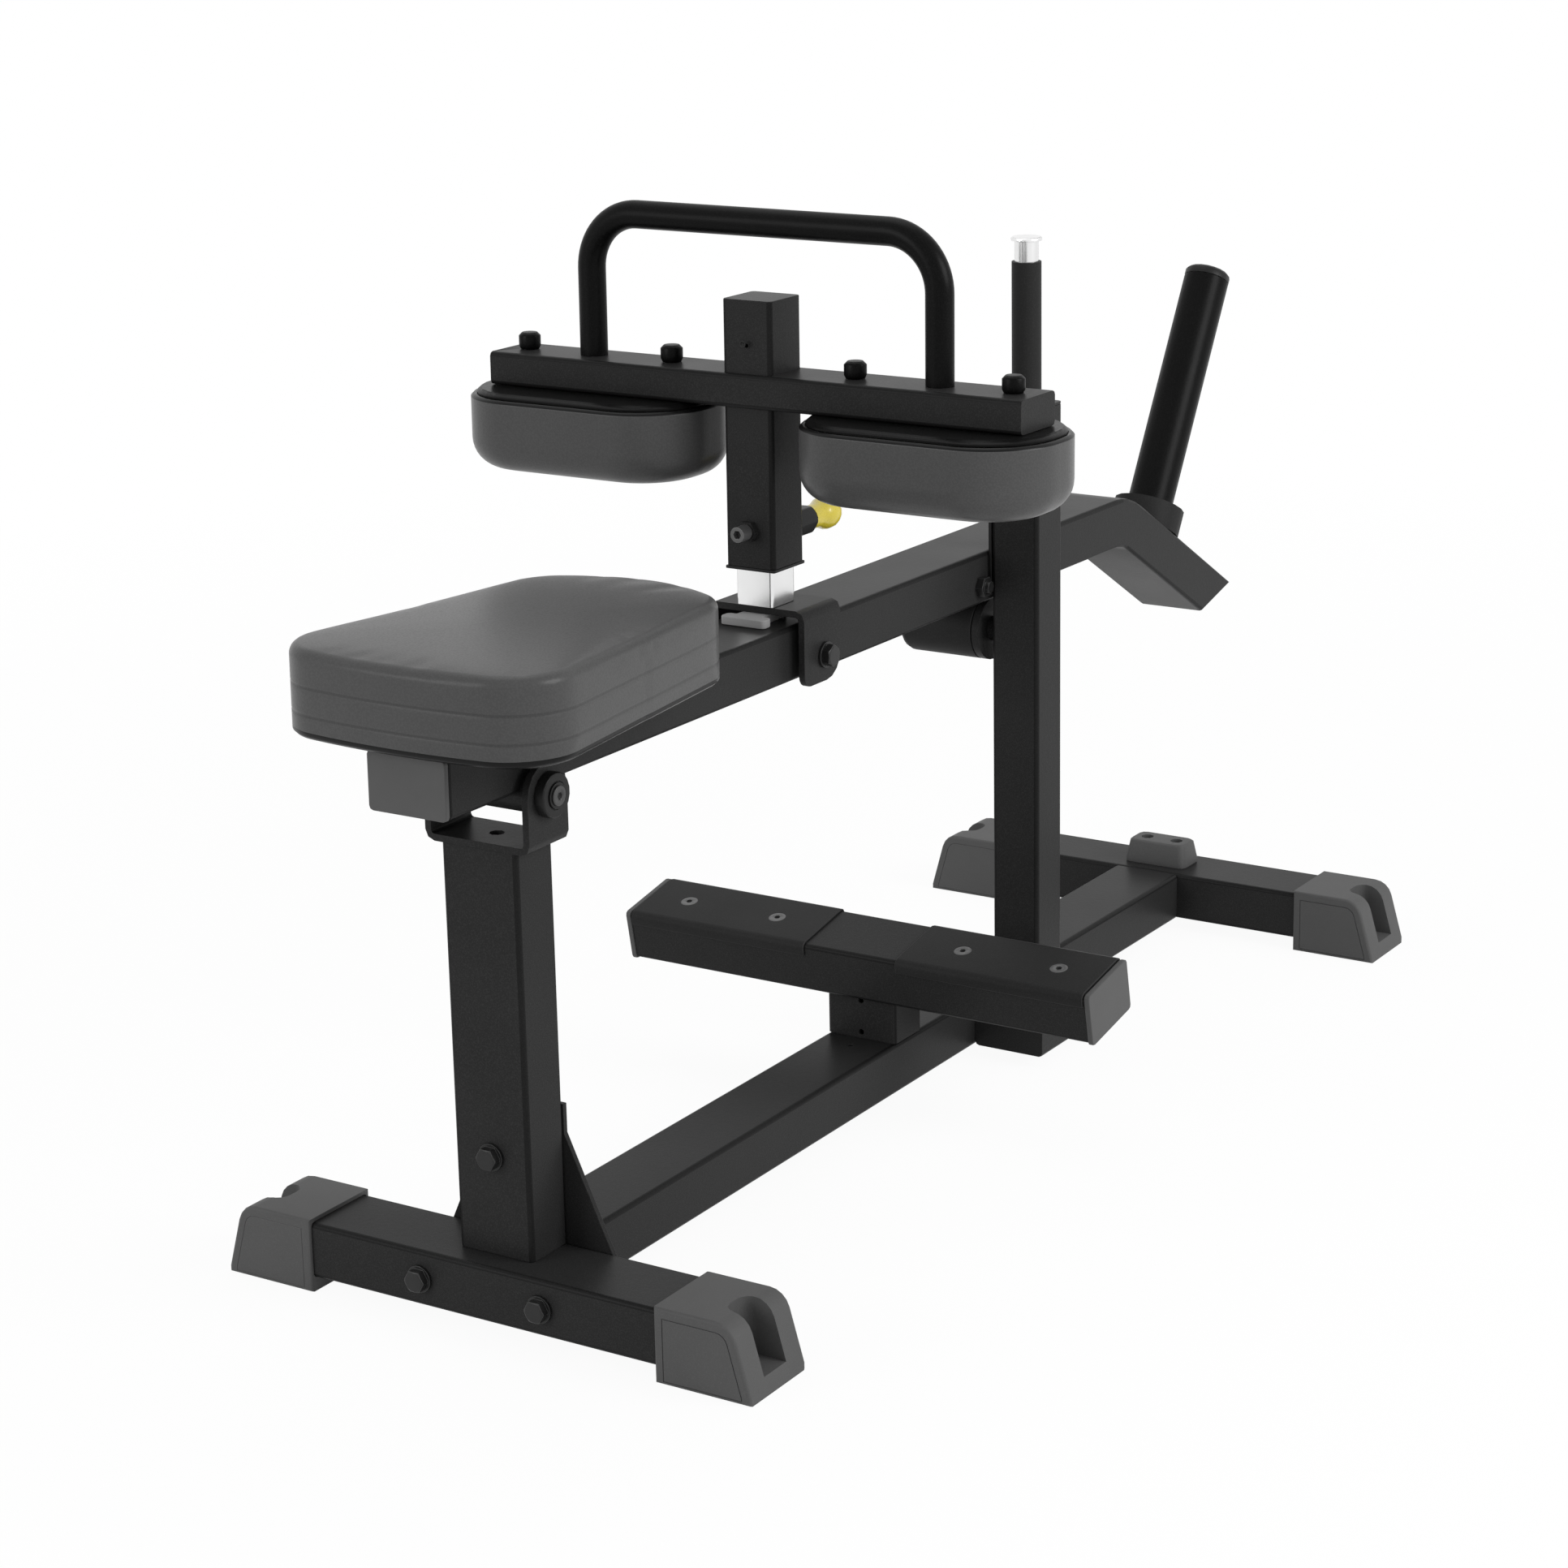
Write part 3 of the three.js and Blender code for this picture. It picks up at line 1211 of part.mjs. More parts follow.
function add_crossbar() {
  const tube = square_tube(crossbar_depth, crossbar_height, sleeve_wall, tube_corner,
    2 * crossbar_half, 'x');
  const end_shape = rounded_rectangle(crossbar_depth, crossbar_height, tube_corner);
  const ends = [-1, 1].map((way) => pushed(end_shape, crossbar_cap_thick, 'x')
    .translate([way * (crossbar_half + crossbar_cap_thick / 2), 0, 0]));
  const room = sleeve_width + 2 * gap;
  const sleeve_room = pushed(rounded_rectangle(room, room, sleeve_corner), 4 * crossbar_height, 'z');
  const bolt_places = pad_bolt_x.flatMap((x) => [-x, x]);
  const bores = bolt_places.map((x) => pad_bore(4 * crossbar_height).translate([x, 0, 0]));
  place(lever, 'crossbar', 'black_paint', cut(joined([tube, ...ends]), [sleeve_room, ...bores]),
    [0, sleeve_y, crossbar_middle]);

  const radius = pad_bolt_d / 2;
  const shank_length = crossbar_height + gap + pad_board_thick;
  const head = turned([
    [0, 0],
    [radius - pad_bolt_edge / 2, 0],
    [radius, pad_bolt_edge],
    [radius, pad_bolt_height - pad_bolt_edge],
    [radius - pad_bolt_edge, pad_bolt_height],
    [0, pad_bolt_height],
  ], 'z');
  const shank = rod(pad_shank_d, shank_length + bite, 'z', small_segments)
    .translate([0, 0, (bite - shank_length) / 2]);
  const capped = joined([head, shank]);
  const bolt_names = ['inner_left', 'inner_right', 'outer_left', 'outer_right'];
  bolt_places.forEach((x, i) => {
    place(lever, `pad_bolt_${bolt_names[i]}`, 'black_plastic', capped, [x, sleeve_y, crossbar_top + gap]);
  });
}

function add_knee_pads() {
  const board_bottom = crossbar_bottom - gap - pad_board_thick;
  const board = stacked([
    { z: 0, points: pad_outline(pad_board_inset) },
    { z: pad_board_thick / 3, points: pad_outline(pad_board_inset) },
    { z: pad_board_thick, points: pad_outline(pad_board_inset + pad_board_bevel) },
  ]);
  const pad = cushion(pad_outline, pad_form).rotate([180, 0, 0]);
  for (const [side, way] of sides) {
    const bores = pad_bolt_x.map((x) => pad_bore(4 * pad_board_thick)
      .translate([way * (x - pad_middle), sleeve_y - pad_y, 0]));
    place(lever, `pad_board_${side}`, 'board', cut(board, bores),
      [way * pad_middle, pad_y, board_bottom]);
    place(lever, `knee_pad_${side}`, 'vinyl', pad, [way * pad_middle, pad_y, board_bottom - gap]);
  }
}

// The handle runs up one leg, round two bends and down the other leg. Its places are the ends of the
// straight lengths and a few steps round each bend, so the straight lengths stay whole.
class HandlePath extends THREE.Curve {
  constructor() {
    super();
    const low = crossbar_top + gap;
    const side = handle_half - handle_bend;
    const high = handle_top - handle_bend;
    this.places = [{ at: new THREE.Vector3(-handle_half, 0, low), along: new THREE.Vector3(0, 0, 1) }];
    for (const way of [-1, 1]) {
      for (let i = 0; i <= corner_steps; i += 1) {
        const angle = quarter * (way < 0 ? i : corner_steps - i) / corner_steps;
        this.places.push({
          at: new THREE.Vector3(
            way * (side + handle_bend * Math.cos(angle)), 0, high + handle_bend * Math.sin(angle)),
          along: new THREE.Vector3(Math.sin(angle), 0, -way * Math.cos(angle)),
        });
      }
    }
    this.places.push({ at: new THREE.Vector3(handle_half, 0, low), along: new THREE.Vector3(0, 0, -1) });
  }

  getPoint(share) {
    return this.places[Math.round(share * (this.places.length - 1))].at.clone();
  }

  getPointAt(share) {
    return this.getPoint(share);
  }

  getTangentAt(share) {
    return this.places[Math.round(share * (this.places.length - 1))].along.clone();
  }
}

function add_handle() {
  const path = new HandlePath();
  const shape = with_hole(circle(handle_d), circle(handle_d - 2 * handle_wall));
  const geometry = new THREE.ExtrudeGeometry(shape, {
    steps: path.places.length - 1,
    curveSegments: round_segments,
    bevelEnabled: false,
    extrudePath: path,
  });
  place(lever, 'handle', 'black_paint', to_solid(geometry), [0, sleeve_y, 0]);
}

add_base();
add_front_post();
add_pivot_bracket();
add_foot_bar();
add_rear_post();
add_catch();
add_rear_stop();
add_beam();
add_horn();
add_seat();
add_knee_rest();
add_knee_bracket();
add_sleeve();
add_clamp();
add_pull_pin();
add_crossbar();
add_knee_pads();
add_handle();

machine.position.y = -middle_y;

export default machine;
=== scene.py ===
"""A seated calf raise machine: finishes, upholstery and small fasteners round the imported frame.

Everything is in metres, in the frame of the CAD model. The lever's own directions are those
of the beam, counted from its pivot.
"""

import json
import math

import bmesh
import bpy
from mathutils import Matrix, Vector, geometry


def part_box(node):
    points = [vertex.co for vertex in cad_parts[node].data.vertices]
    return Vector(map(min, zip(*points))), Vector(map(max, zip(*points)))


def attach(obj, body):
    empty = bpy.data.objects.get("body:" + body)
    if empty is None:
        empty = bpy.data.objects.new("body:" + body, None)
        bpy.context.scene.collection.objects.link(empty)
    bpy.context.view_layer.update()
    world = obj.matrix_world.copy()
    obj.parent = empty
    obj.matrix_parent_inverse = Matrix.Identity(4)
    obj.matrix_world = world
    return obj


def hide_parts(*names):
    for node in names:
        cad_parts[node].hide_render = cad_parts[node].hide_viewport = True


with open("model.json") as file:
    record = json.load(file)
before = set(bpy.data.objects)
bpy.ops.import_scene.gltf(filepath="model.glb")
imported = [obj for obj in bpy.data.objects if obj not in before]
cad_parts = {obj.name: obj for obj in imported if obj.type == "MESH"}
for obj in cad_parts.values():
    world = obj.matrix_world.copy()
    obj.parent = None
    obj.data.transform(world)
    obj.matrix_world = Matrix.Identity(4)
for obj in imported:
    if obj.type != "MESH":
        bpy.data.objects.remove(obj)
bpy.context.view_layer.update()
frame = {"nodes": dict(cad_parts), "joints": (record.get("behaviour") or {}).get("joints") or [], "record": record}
nodes = frame["nodes"]
slots = {row["node"]: row["material_slot"] for row in frame["record"]["subparts"]}
bodies = {
    node: body
    for body, members in frame["record"]["behaviour"]["bodies"].items()
    for node in members
}

# lengths and a turn that many pieces share
mm = 0.001
same_place = 0.02 * mm
quarter = math.pi / 2

# the lever's slope in radians, as the part's source gives it, and the place it turns about
lever_slope = 0.0105
pivot = Vector(next(j["pos_m"] for j in frame["joints"] if j["name"] == "lever_pivot"))
lever_place = Matrix.Translation(pivot) @ Matrix.Rotation(-lever_slope, 4, "X")


# Shader maths
class Value:
    """One socket of a material, on which sums are written as they are read."""

    def __init__(self, finish, socket):
        self.finish = finish
        self.socket = socket

    def maths(self, operation, first, second=None):
        sockets = {0: first}
        if second is not None:
            sockets[1] = second
        return self.finish.add("ShaderNodeMath", {"operation": operation}, sockets)

    def __add__(self, other):
        return self.maths("ADD", self, other)

    def __radd__(self, other):
        return self.maths("ADD", other, self)

    def __sub__(self, other):
        return self.maths("SUBTRACT", self, other)

    def __rsub__(self, other):
        return self.maths("SUBTRACT", other, self)

    def __mul__(self, other):
        return self.maths("MULTIPLY", self, other)

    def __rmul__(self, other):
        return self.maths("MULTIPLY", other, self)

    def __truediv__(self, other):
        return self.maths("DIVIDE", self, other)

    def power(self, exponent):
        return self.maths("POWER", self, exponent)

    def larger(self, other):
        return self.maths("MAXIMUM", self, other)


class Finish:
    """A material's nodes, each made by one method."""

    def __init__(self, owner):
        self.owner = owner
        owner.use_nodes = True
        self.tree = owner.node_tree
        self.tree.nodes.clear()

    def add(self, kind, settings=None, sockets=None, out=0):
        node = self.tree.nodes.new(kind)
        for name, value in (settings or {}).items():
            if name == "stops":
                self.set_stops(node.color_ramp, value)
            else:
                setattr(node, name, value)
        for name, value in (sockets or {}).items():
            if isinstance(value, Value):
                self.tree.links.new(value.socket, node.inputs[name])
            else:
                node.inputs[name].default_value = value
        return Value(self, node.outputs[out])

    def set_stops(self, ramp, stops):
        while len(ramp.elements) < len(stops):
            ramp.elements.new(1)
        for element, (place, level) in zip(ramp.elements, stops):
            element.position = place
            element.color = (level, level, level, 1)

    def place(self):
        """Where a point is on the piece, in metres."""
        return self.add("ShaderNodeTexCoord", out="Object")

    def noise(self, size, detail=2.0, roughness=0.5):
        """Cloudy noise whose largest forms are about this size, in metres."""
        settings = {"noise_dimensions": "3D"}
        sockets = {
            "Vector": self.place(),
            "Scale": 1 / size,
            "Detail": detail,
            "Roughness": roughness,
        }
        return self.add("ShaderNodeTexNoise", settings, sockets, out="Fac")

    def cells(self, size):
        """Distance to the nearest of many scattered points, about this far apart."""
        settings = {"feature": "F1", "distance": "EUCLIDEAN"}
        sockets = {"Vector": self.place(), "Scale": 1 / size}
        return self.add("ShaderNodeTexVoronoi", settings, sockets, out="Distance")

    def ramp(self, value, stops):
        """Greys between stops, each of which has a place and a level."""
        return self.add("ShaderNodeValToRGB", {"stops": stops}, {"Fac": value})

    def mixed(self, share, first, second):
        """Two colours mixed by a share."""
        settings = {"data_type": "RGBA"}
        return self.add("ShaderNodeMix", settings, {0: share, 6: first, 7: second}, out=2)

    def marked(self, name):
        """1 on the faces that a piece's own attribute marks, 0 on the others."""
        return self.add("ShaderNodeAttribute", {"attribute_name": name}, out="Fac")

    def bump(self, height, depth, strength):
        sockets = {"Height": height, "Distance": depth, "Strength": strength}
        return self.add("ShaderNodeBump", sockets=sockets)


def output(finish, kind, shader):
    """Ends the nodes of a material or of the world in its output."""
    node = finish.tree.nodes.new(kind)
    finish.tree.links.new(shader.socket, node.inputs["Surface"])


def grey(level):
    """A grey written as on a colour chart, from 0 to 255, as the shader's own colour."""
    share = level / 255
    linear = ((share + 0.055) / 1.055) ** 2.4 if share > 0.04045 else share / 12.92
    return (linear, linear, linear, 1)


def colour(red, green, blue):
    """A colour written on the same chart as the greys."""
    return tuple(grey(level)[0] for level in (red, green, blue)) + (1,)


def surface(name):
    """A new material, to which its own function adds nodes."""
    return Finish(bpy.data.materials.new(name))


def finished(finish, sockets):
    shader = finish.add("ShaderNodeBsdfPrincipled", sockets=sockets)
    output(finish, "ShaderNodeOutputMaterial", shader)
    return finish.owner


# Each finish has a low and a high grey that it drifts between, and shine for its gloss
def powder_coat(name, low, high, shine):
    """Semi-gloss powder coat with a fine grain, paler on its edges: partly rubbed, partly a painted highlight.

    The rounded corners along the tubes are dark lines, a painted reflection of dark surroundings as semi-gloss
    paint shows it.
    """
    speck_grey = grey(high + 22)
    # paler edges: partly rubbed coat, partly a painted highlight
    rubbed_and_highlight_grey = grey(high + 28)
    # painted reflection: the dark of the rounded tube corners
    painted_reflection_grey = grey(8)
    finish = surface(name)
    cloud = finish.noise(90 * mm, detail=3)
    grain = finish.noise(1.1 * mm, detail=2, roughness=0.6)
    peel = finish.noise(4 * mm, detail=1)
    wear = finish.noise(14 * mm, detail=4)
    speck = finish.ramp(grain, [(0.45, 0), (0.75, 1)])
    rubbed_and_highlight = finish.marked("edge") * finish.ramp(wear, [(0.45, 0), (0.8, 1)])
    base = finish.mixed(cloud, grey(low), grey(high))
    base = finish.mixed(speck * 0.4, base, speck_grey)
    base = finish.mixed(rubbed_and_highlight * 0.4, base, rubbed_and_highlight_grey)
    base = finish.mixed(finish.marked("corner") * 0.5, base, painted_reflection_grey)
    return finished(finish, {
        "Base Color": base,
        "Roughness": 0.27 + cloud * 0.1 + grain * 0.08,
        "Specular IOR Level": shine,
        "Normal": finish.bump(grain + peel * 1.2, depth=0.12 * mm, strength=0.5),
    })


def moulded_rubber(name, low, high, grain_size, rough, shine):
    """Matt rubber with a moulded grain, scuffed paler on its high spots; its edges are paler, partly scuffed,
    partly a painted highlight.
    """
    scuffed_grey = grey(high + 26)
    # paler edges: partly scuffed rubber, partly a painted highlight
    edge_grey = grey(high + 22)
    finish = surface(name)
    cloud = finish.noise(60 * mm, detail=3)
    grain = finish.noise(grain_size, detail=3, roughness=0.6)
    scuffed = finish.ramp(grain, [(0.5, 0), (0.8, 1)])
    base = finish.mixed(cloud, grey(low), grey(high))
    base = finish.mixed(scuffed * 0.25, base, scuffed_grey)
    base = finish.mixed(finish.marked("edge") * 0.35, base, edge_grey)
    return finished(finish, {
        "Base Color": base,
        "Roughness": rough + grain * 0.14,
        "Specular IOR Level": shine,
        "Normal": finish.bump(grain, depth=0.2 * mm, strength=0.5),
    })


def vinyl():
    """Upholstery vinyl: a pebbled grain with dark pores, and painted shade along the board and in the sewn lines.
    """
    pore_grey = grey(56)
    # painted shade where the cover meets its board, and in the sewn lines
    cover_shade_grey = grey(14)
    finish = surface("vinyl")
    cloud = finish.noise(120 * mm, detail=3)
    pebble = finish.cells(1.7 * mm)
    crease = finish.noise(3.2 * mm, detail=3, roughness=0.6)
    pores = finish.ramp(pebble, [(0.15, 0), (0.7, 1)])
    base = finish.mixed(cloud, grey(74), grey(82))
    base = finish.mixed(pores * 0.3, base, pore_grey)
    base = finish.mixed(finish.marked("hem"), base, cover_shade_grey)
    return finished(finish, {
        "Base Color": base,
        "Roughness": 0.25 + cloud * 0.06 + pebble * 0.08,
        "Specular IOR Level": 0.14,
        "Normal": finish.bump(crease * 0.5 - pebble.power(2), depth=0.1 * mm, strength=0.4),
    })


def chrome():
    """Plated steel, a little cloudy from handling, with fine polishing marks."""
    finish = surface("chrome")
    cloud = finish.noise(25 * mm, detail=3)
    draw = finish.noise(0.9 * mm, detail=2)
    return finished(finish, {
        "Base Color": finish.mixed(cloud, grey(226), grey(238)),
        "Metallic": 1.0,
        "Roughness": 0.2 + cloud * 0.08,
        "Normal": finish.bump(draw, depth=0.02 * mm, strength=0.25),
    })


def steel(name, low, high, rough, metallic):
    """Coated or bare steel of a bolt. The bottom of a socket is darkened with painted shade."""
    worn_grey = grey(high + 30)
    # painted shade at the bottom of a socket
    socket_shade_grey = grey(5)
    finish = surface(name)
    cloud = finish.noise(12 * mm, detail=3)
    grain = finish.noise(0.7 * mm, detail=2)
    base = finish.mixed(cloud, grey(low), grey(high))
    base = finish.mixed(finish.marked("edge") * 0.5, base, worn_grey)
    base = finish.mixed(finish.marked("hollow"), base, socket_shade_grey)
    return finished(finish, {
        "Base Color": base,
        "Metallic": metallic,
        "Roughness": rough + grain * 0.12,
        "Specular IOR Level": 0.3,
        "Normal": finish.bump(grain, depth=0.08 * mm, strength=0.4),
    })


def plastic(name, low, high, rough):
    """Moulded plastic with a fine texture, paler on its edges."""
    edge_grey = grey(high + 24)
    finish = surface(name)
    cloud = finish.noise(40 * mm, detail=3)
    grain = finish.noise(0.8 * mm, detail=3, roughness=0.6)
    base = finish.mixed(cloud, grey(low), grey(high))
    base = finish.mixed(finish.marked("edge") * 0.3, base, edge_grey)
    return finished(finish, {
        "Base Color": base,
        "Roughness": rough + grain * 0.12,
        "Specular IOR Level": 0.18,
        "Normal": finish.bump(grain, depth=0.12 * mm, strength=0.4),
    })


def painted_board():
    """The black painted wood under the cushions, with the grain showing through."""
    finish = surface("board")
    cloud = finish.noise(50 * mm, detail=3)
    grain = finish.noise(2.2 * mm, detail=4, roughness=0.65)
    return finished(finish, {
        "Base Color": finish.mixed(cloud, grey(12), grey(19)),
        "Roughness": 0.22 + grain * 0.16,
        "Specular IOR Level": 0.06,
        "Normal": finish.bump(grain, depth=0.1 * mm, strength=0.4),
    })


def yellow_knob():
    """Glossy yellow plastic of the knob that is pulled."""
    deep_yellow = colour(196, 178, 38)
    pale_yellow = colour(208, 190, 54)
    finish = surface("yellow_plastic")
    cloud = finish.noise(14 * mm, detail=3)
    grain = finish.noise(1.5 * mm, detail=2)
    return finished(finish, {
        "Base Color": finish.mixed(cloud, deep_yellow, pale_yellow),
        "Roughness": 0.22 + grain * 0.14,
        "Coat Weight": 0.3 + cloud * 0.2,
        "Normal": finish.bump(grain, depth=0.06 * mm, strength=0.3),
    })


moulded_grain = 1.0 * mm
tread_grain = 1.4 * mm
finishes = {
    "black_paint": powder_coat("black_paint", 35, 43, shine=0.06),
    "grey_rubber": moulded_rubber("grey_rubber", 76, 84, moulded_grain, rough=0.45, shine=0.16),
    "black_rubber": moulded_rubber("black_rubber", 36, 44, tread_grain, rough=0.42, shine=0.06),
    "grey_plastic": plastic("grey_plastic", 76, 84, rough=0.45),
    "black_plastic": plastic("black_plastic", 20, 27, rough=0.36),
    "vinyl": vinyl(),
    "board": painted_board(),
    "chrome": chrome(),
    "black_bolt": steel("black_bolt", 26, 36, rough=0.3, metallic=0.2),
    "grey_bolt": steel("grey_bolt", 86, 98, rough=0.36, metallic=0.15),
    "yellow_plastic": yellow_knob(),
}

# a few pieces have a darker batch of their slot's finish; the rest block has a paler copy of
# its rubber, painted light that stands in for the light its bracket shades off
satin_black = powder_coat("satin_black", 5, 9, shine=0.07)
dark_bolt = steel("dark_bolt", 58, 68, rough=0.36, metallic=0.15)
# painted light: a paler copy of the grey rubber for the rest block in the bracket's shadow
painted_light_rubber = moulded_rubber("painted_light_rubber", 158, 168, moulded_grain, rough=0.5, shine=0.2)
own_finish = {
    "knee_rest_block": painted_light_rubber,
    "weight_horn": satin_black,
    "handle": satin_black,
    "pad_bolt_inner_left": satin_black,
    "pad_bolt_inner_right": satin_black,
    "pad_bolt_outer_left": satin_black,
    "pad_bolt_outer_right": satin_black,
    "pivot_screw_left": dark_bolt,
    "pivot_screw_right": dark_bolt,
}


# Pieces
def piece_of(mesh, name, body, slot, covers=()):
    """An object at the origin from an edit mesh that is already in its place."""
    data = bpy.data.meshes.new(name)
    mesh.to_mesh(data)
    mesh.free()
    for flat_shading in ("custom_normal", "sharp_face"):
        if flat_shading in data.attributes:
            data.attributes.remove(data.attributes[flat_shading])
    data.materials.clear()
    data.materials.append(own_finish.get(covers[0] if covers else name, finishes[slot]))
    for face in data.polygons:
        face.material_index = 0
    thing = bpy.data.objects.new(name, data)
    bpy.context.scene.collection.objects.link(thing)
    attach(thing, body)
    if covers:
        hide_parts(*covers)
    return thing


def merged_copy(node):
    """An edit mesh of a CAD node, whose triangles are joined along their edges."""
    mesh = bmesh.new()
    mesh.from_mesh(nodes[node].data)
    bmesh.ops.remove_doubles(mesh, verts=mesh.verts, dist=same_place)
    return mesh


def box_on_lever(node):
    """The lowest and highest corners of a CAD node, along the lever's own directions."""
    copy = merged_copy(node)
    copy.transform(lever_place.inverted())
    low = [min(point.co[i] for point in copy.verts) for i in range(3)]
    high = [max(point.co[i] for point in copy.verts) for i in range(3)]
    copy.free()
    return low, high


def shade(mesh, smooth_below):
    """Smooth faces, with the edges that turn by more than an angle kept sharp."""
    for face in mesh.faces:
        face.smooth = True
    for edge in mesh.edges:
        edge.smooth = not edge.is_manifold or edge.calc_face_angle() < smooth_below


flat_angle = math.radians(1.5)
bevel_angle = math.radians(52)
smooth_angle = math.radians(50)
largest_weight = 100


def flatten_normals(thing):
    """Large faces shade flat, and all the turning of the light is in the rounded edges."""
    weighted = thing.modifiers.new("even_faces", "WEIGHTED_NORMAL")
    weighted.keep_sharp = True
    weighted.weight = largest_weight


# Width of the rounded edges: what each kind of piece has on its cut or moulded edges
tube_edge = 0.5 * mm
moulded_edge = 1.2 * mm
tread_edge = 0.8 * mm
small_edge = 0.4 * mm
edge_widths = {
    "black_paint": tube_edge,
    "grey_rubber": moulded_edge,
    "black_rubber": tread_edge,
    "grey_plastic": small_edge,
    "black_plastic": small_edge,
    "board": small_edge,
    "chrome": small_edge,
    "black_bolt": small_edge,
    "grey_bolt": small_edge,
    "yellow_plastic": 0,
}
edge_segments = 2

# A face is a tube's rounded corner when it is at most this wide and longer than this
narrow_corner = 3.6 * mm
corner_run = 45 * mm


def dressed(node, width):
    """A CAD piece with rounded edges and even faces, which stands for the plain one.

    Its long narrow faces are the rounded corners along a tube, marked for a painted reflection that darkens them.
    """
    mesh = merged_copy(node)
    bmesh.ops.dissolve_limit(mesh, angle_limit=flat_angle, verts=mesh.verts, edges=mesh.edges)
    edge_mark = mesh.faces.layers.float.new("edge")
    # the corners are marked for a painted reflection that darkens them
    painted_reflection_mark = mesh.faces.layers.float.new("corner")
    for face in mesh.faces:
        longest = max(edge.calc_length() for edge in face.edges)
        narrow = face.calc_area() < narrow_corner * longest and longest > corner_run
        face[painted_reflection_mark] = 1.0 if narrow else 0.0
    sharp = [
        edge for edge in mesh.edges
        if edge.is_manifold and edge.calc_face_angle() > bevel_angle
    ]
    if sharp and width > 0:
        rounded = bmesh.ops.bevel(
            mesh, geom=sharp, offset=width, offset_type="OFFSET", affect="EDGES",
            segments=edge_segments, profile=0.5, clamp_overlap=True, material=-1)
        for face in rounded["faces"]:
            face[edge_mark] = 1.0
    shade(mesh, smooth_angle)
    flatten_normals(piece_of(mesh, node + "_finished", bodies[node], slots[node], [node]))


made_anew = ["seat_cushion", "knee_pad_right", "knee_pad_left", "handle"]


def dress_rigid_nodes():
    """Rounds every CAD piece except those that are modelled anew."""
    for node, slot in slots.items():
        if node not in made_anew:
            dressed(node, edge_widths[slot])


# The bent handle, with a finer bend than the CAD piece
handle_across = 25 * mm
handle_bend = 50 * mm
handle_sides = 40
bend_steps = 18


def bend(mesh, ring, centre):
    """Sweeps the open end of a tube round a quarter bend and gives the new end."""
    end = list(ring) + list({point for edge in ring for point in edge.verts})
    swept = bmesh.ops.spin(
        mesh, geom=end, cent=centre, axis=(0, 1, 0), dvec=(0, 0, 0), angle=quarter,
        steps=bend_steps, use_merge=False, use_normal_flip=False, use_duplicate=False)
    return [item for item in swept["geom_last"] if isinstance(item, bmesh.types.BMEdge)]


def run(mesh, ring, way):
    """Extrudes the open end of a tube straight along a way."""
    grown = bmesh.ops.extrude_edge_only(mesh, edges=ring)["geom"]
    points = [item for item in grown if isinstance(item, bmesh.types.BMVert)]
    bmesh.ops.translate(mesh, vec=way, verts=points)
    return [item for item in grown if isinstance(item, bmesh.types.BMEdge)
            and all(point in points for point in item.verts)]


def add_handle():
    """The inverted U that the hands hold, swept from its left foot to its right one."""
    low, high = box_on_lever("handle")
    radius = handle_across / 2
    middle_y = (low[1] + high[1]) / 2
    leg_x = high[0] - radius
    top_z = high[2] - radius
    mesh = bmesh.new()
    bmesh.ops.create_circle(mesh, segments=handle_sides, radius=radius)
    bmesh.ops.translate(mesh, vec=(-leg_x, middle_y, low[2]), verts=mesh.verts)
    first = list(mesh.edges)
    leg = top_z - handle_bend - low[2]
    bend_x = leg_x - handle_bend
    ring = run(mesh, first, (0, 0, leg))
    ring = bend(mesh, ring, (-bend_x, middle_y, top_z - handle_bend))
    ring = run(mesh, ring, (2 * bend_x, 0, 0))
    ring = bend(mesh, ring, (bend_x, middle_y, top_z - handle_bend))
    ring = run(mesh, ring, (0, 0, -leg))
    for end in (first, ring):
        bmesh.ops.contextual_create(mesh, geom=end)
    bmesh.ops.recalc_face_normals(mesh, faces=mesh.faces)
    mesh.transform(lever_place)
    shade(mesh, smooth_angle)
    piece_of(mesh, "handle_finished", bodies["handle"], slots["handle"], ["handle"])


# Upholstery: covers over the foam of the seat and the knee pads
top_fullness = 3.0 * mm
most_swell = 1.4 * mm
cloth_frames = 20
cover_angle = math.radians(60)
stitch_spacing = 4 * mm
side_spacing = 3.5 * mm
arc_steps = 12
rim_steps = 9
straight_shares = (0.46, 0.54)
crown_shares = [0.96, 0.9, 0.82, 0.73, 0.64, 0.55, 0.46, 0.37, 0.28, 0.2, 0.12]
low_edge = 5 * mm
hem_height = 3.5 * mm
seam_depth = 0.6 * mm
# how far painted shade darkens a sewn line
seam_shade_share = 0.2
seam_half = 1.2 * mm

# A cover's growth is how far it reaches past the CAD cushion, and its bow how far an end is
# bent outwards. Drop is how far it hangs below the board's top, rim the radius of its upper
# edge, crown the rise of its middle, and seams the heights of its sewn lines. The first rows along
# the board, as many as the form counts, are darkened with painted shade.
seat_form = {
    "hangs": False,
    "side_growth": 2 * mm,
    "front_growth": 14 * mm,
    "front_bow": 15 * mm,
    "front_radius": 46 * mm,
    "front_rise": 3 * mm,
    "rear_growth": 24 * mm,
    "rear_bow": 38 * mm,
    "rear_radius": 24 * mm,
    "drop": 2 * mm,
    "rim": 9 * mm,
    "crown": 3 * mm,
    "shaded_rows": 4,
    "seams": [16 * mm, 38 * mm],
}
pad_form = {
    "hangs": True,
    "side_growth": 2.5 * mm,
    "front_growth": 3 * mm,
    "front_bow": 0,
    "front_radius": 66 * mm,
    "front_rise": 0,
    "rear_growth": 3 * mm,
    "rear_bow": 0,
    "rear_radius": 66 * mm,
    "drop": 0,
    "rim": 27 * mm,
    "crown": 2.5 * mm,
    "shaded_rows": 3,
    "seams": [],
}


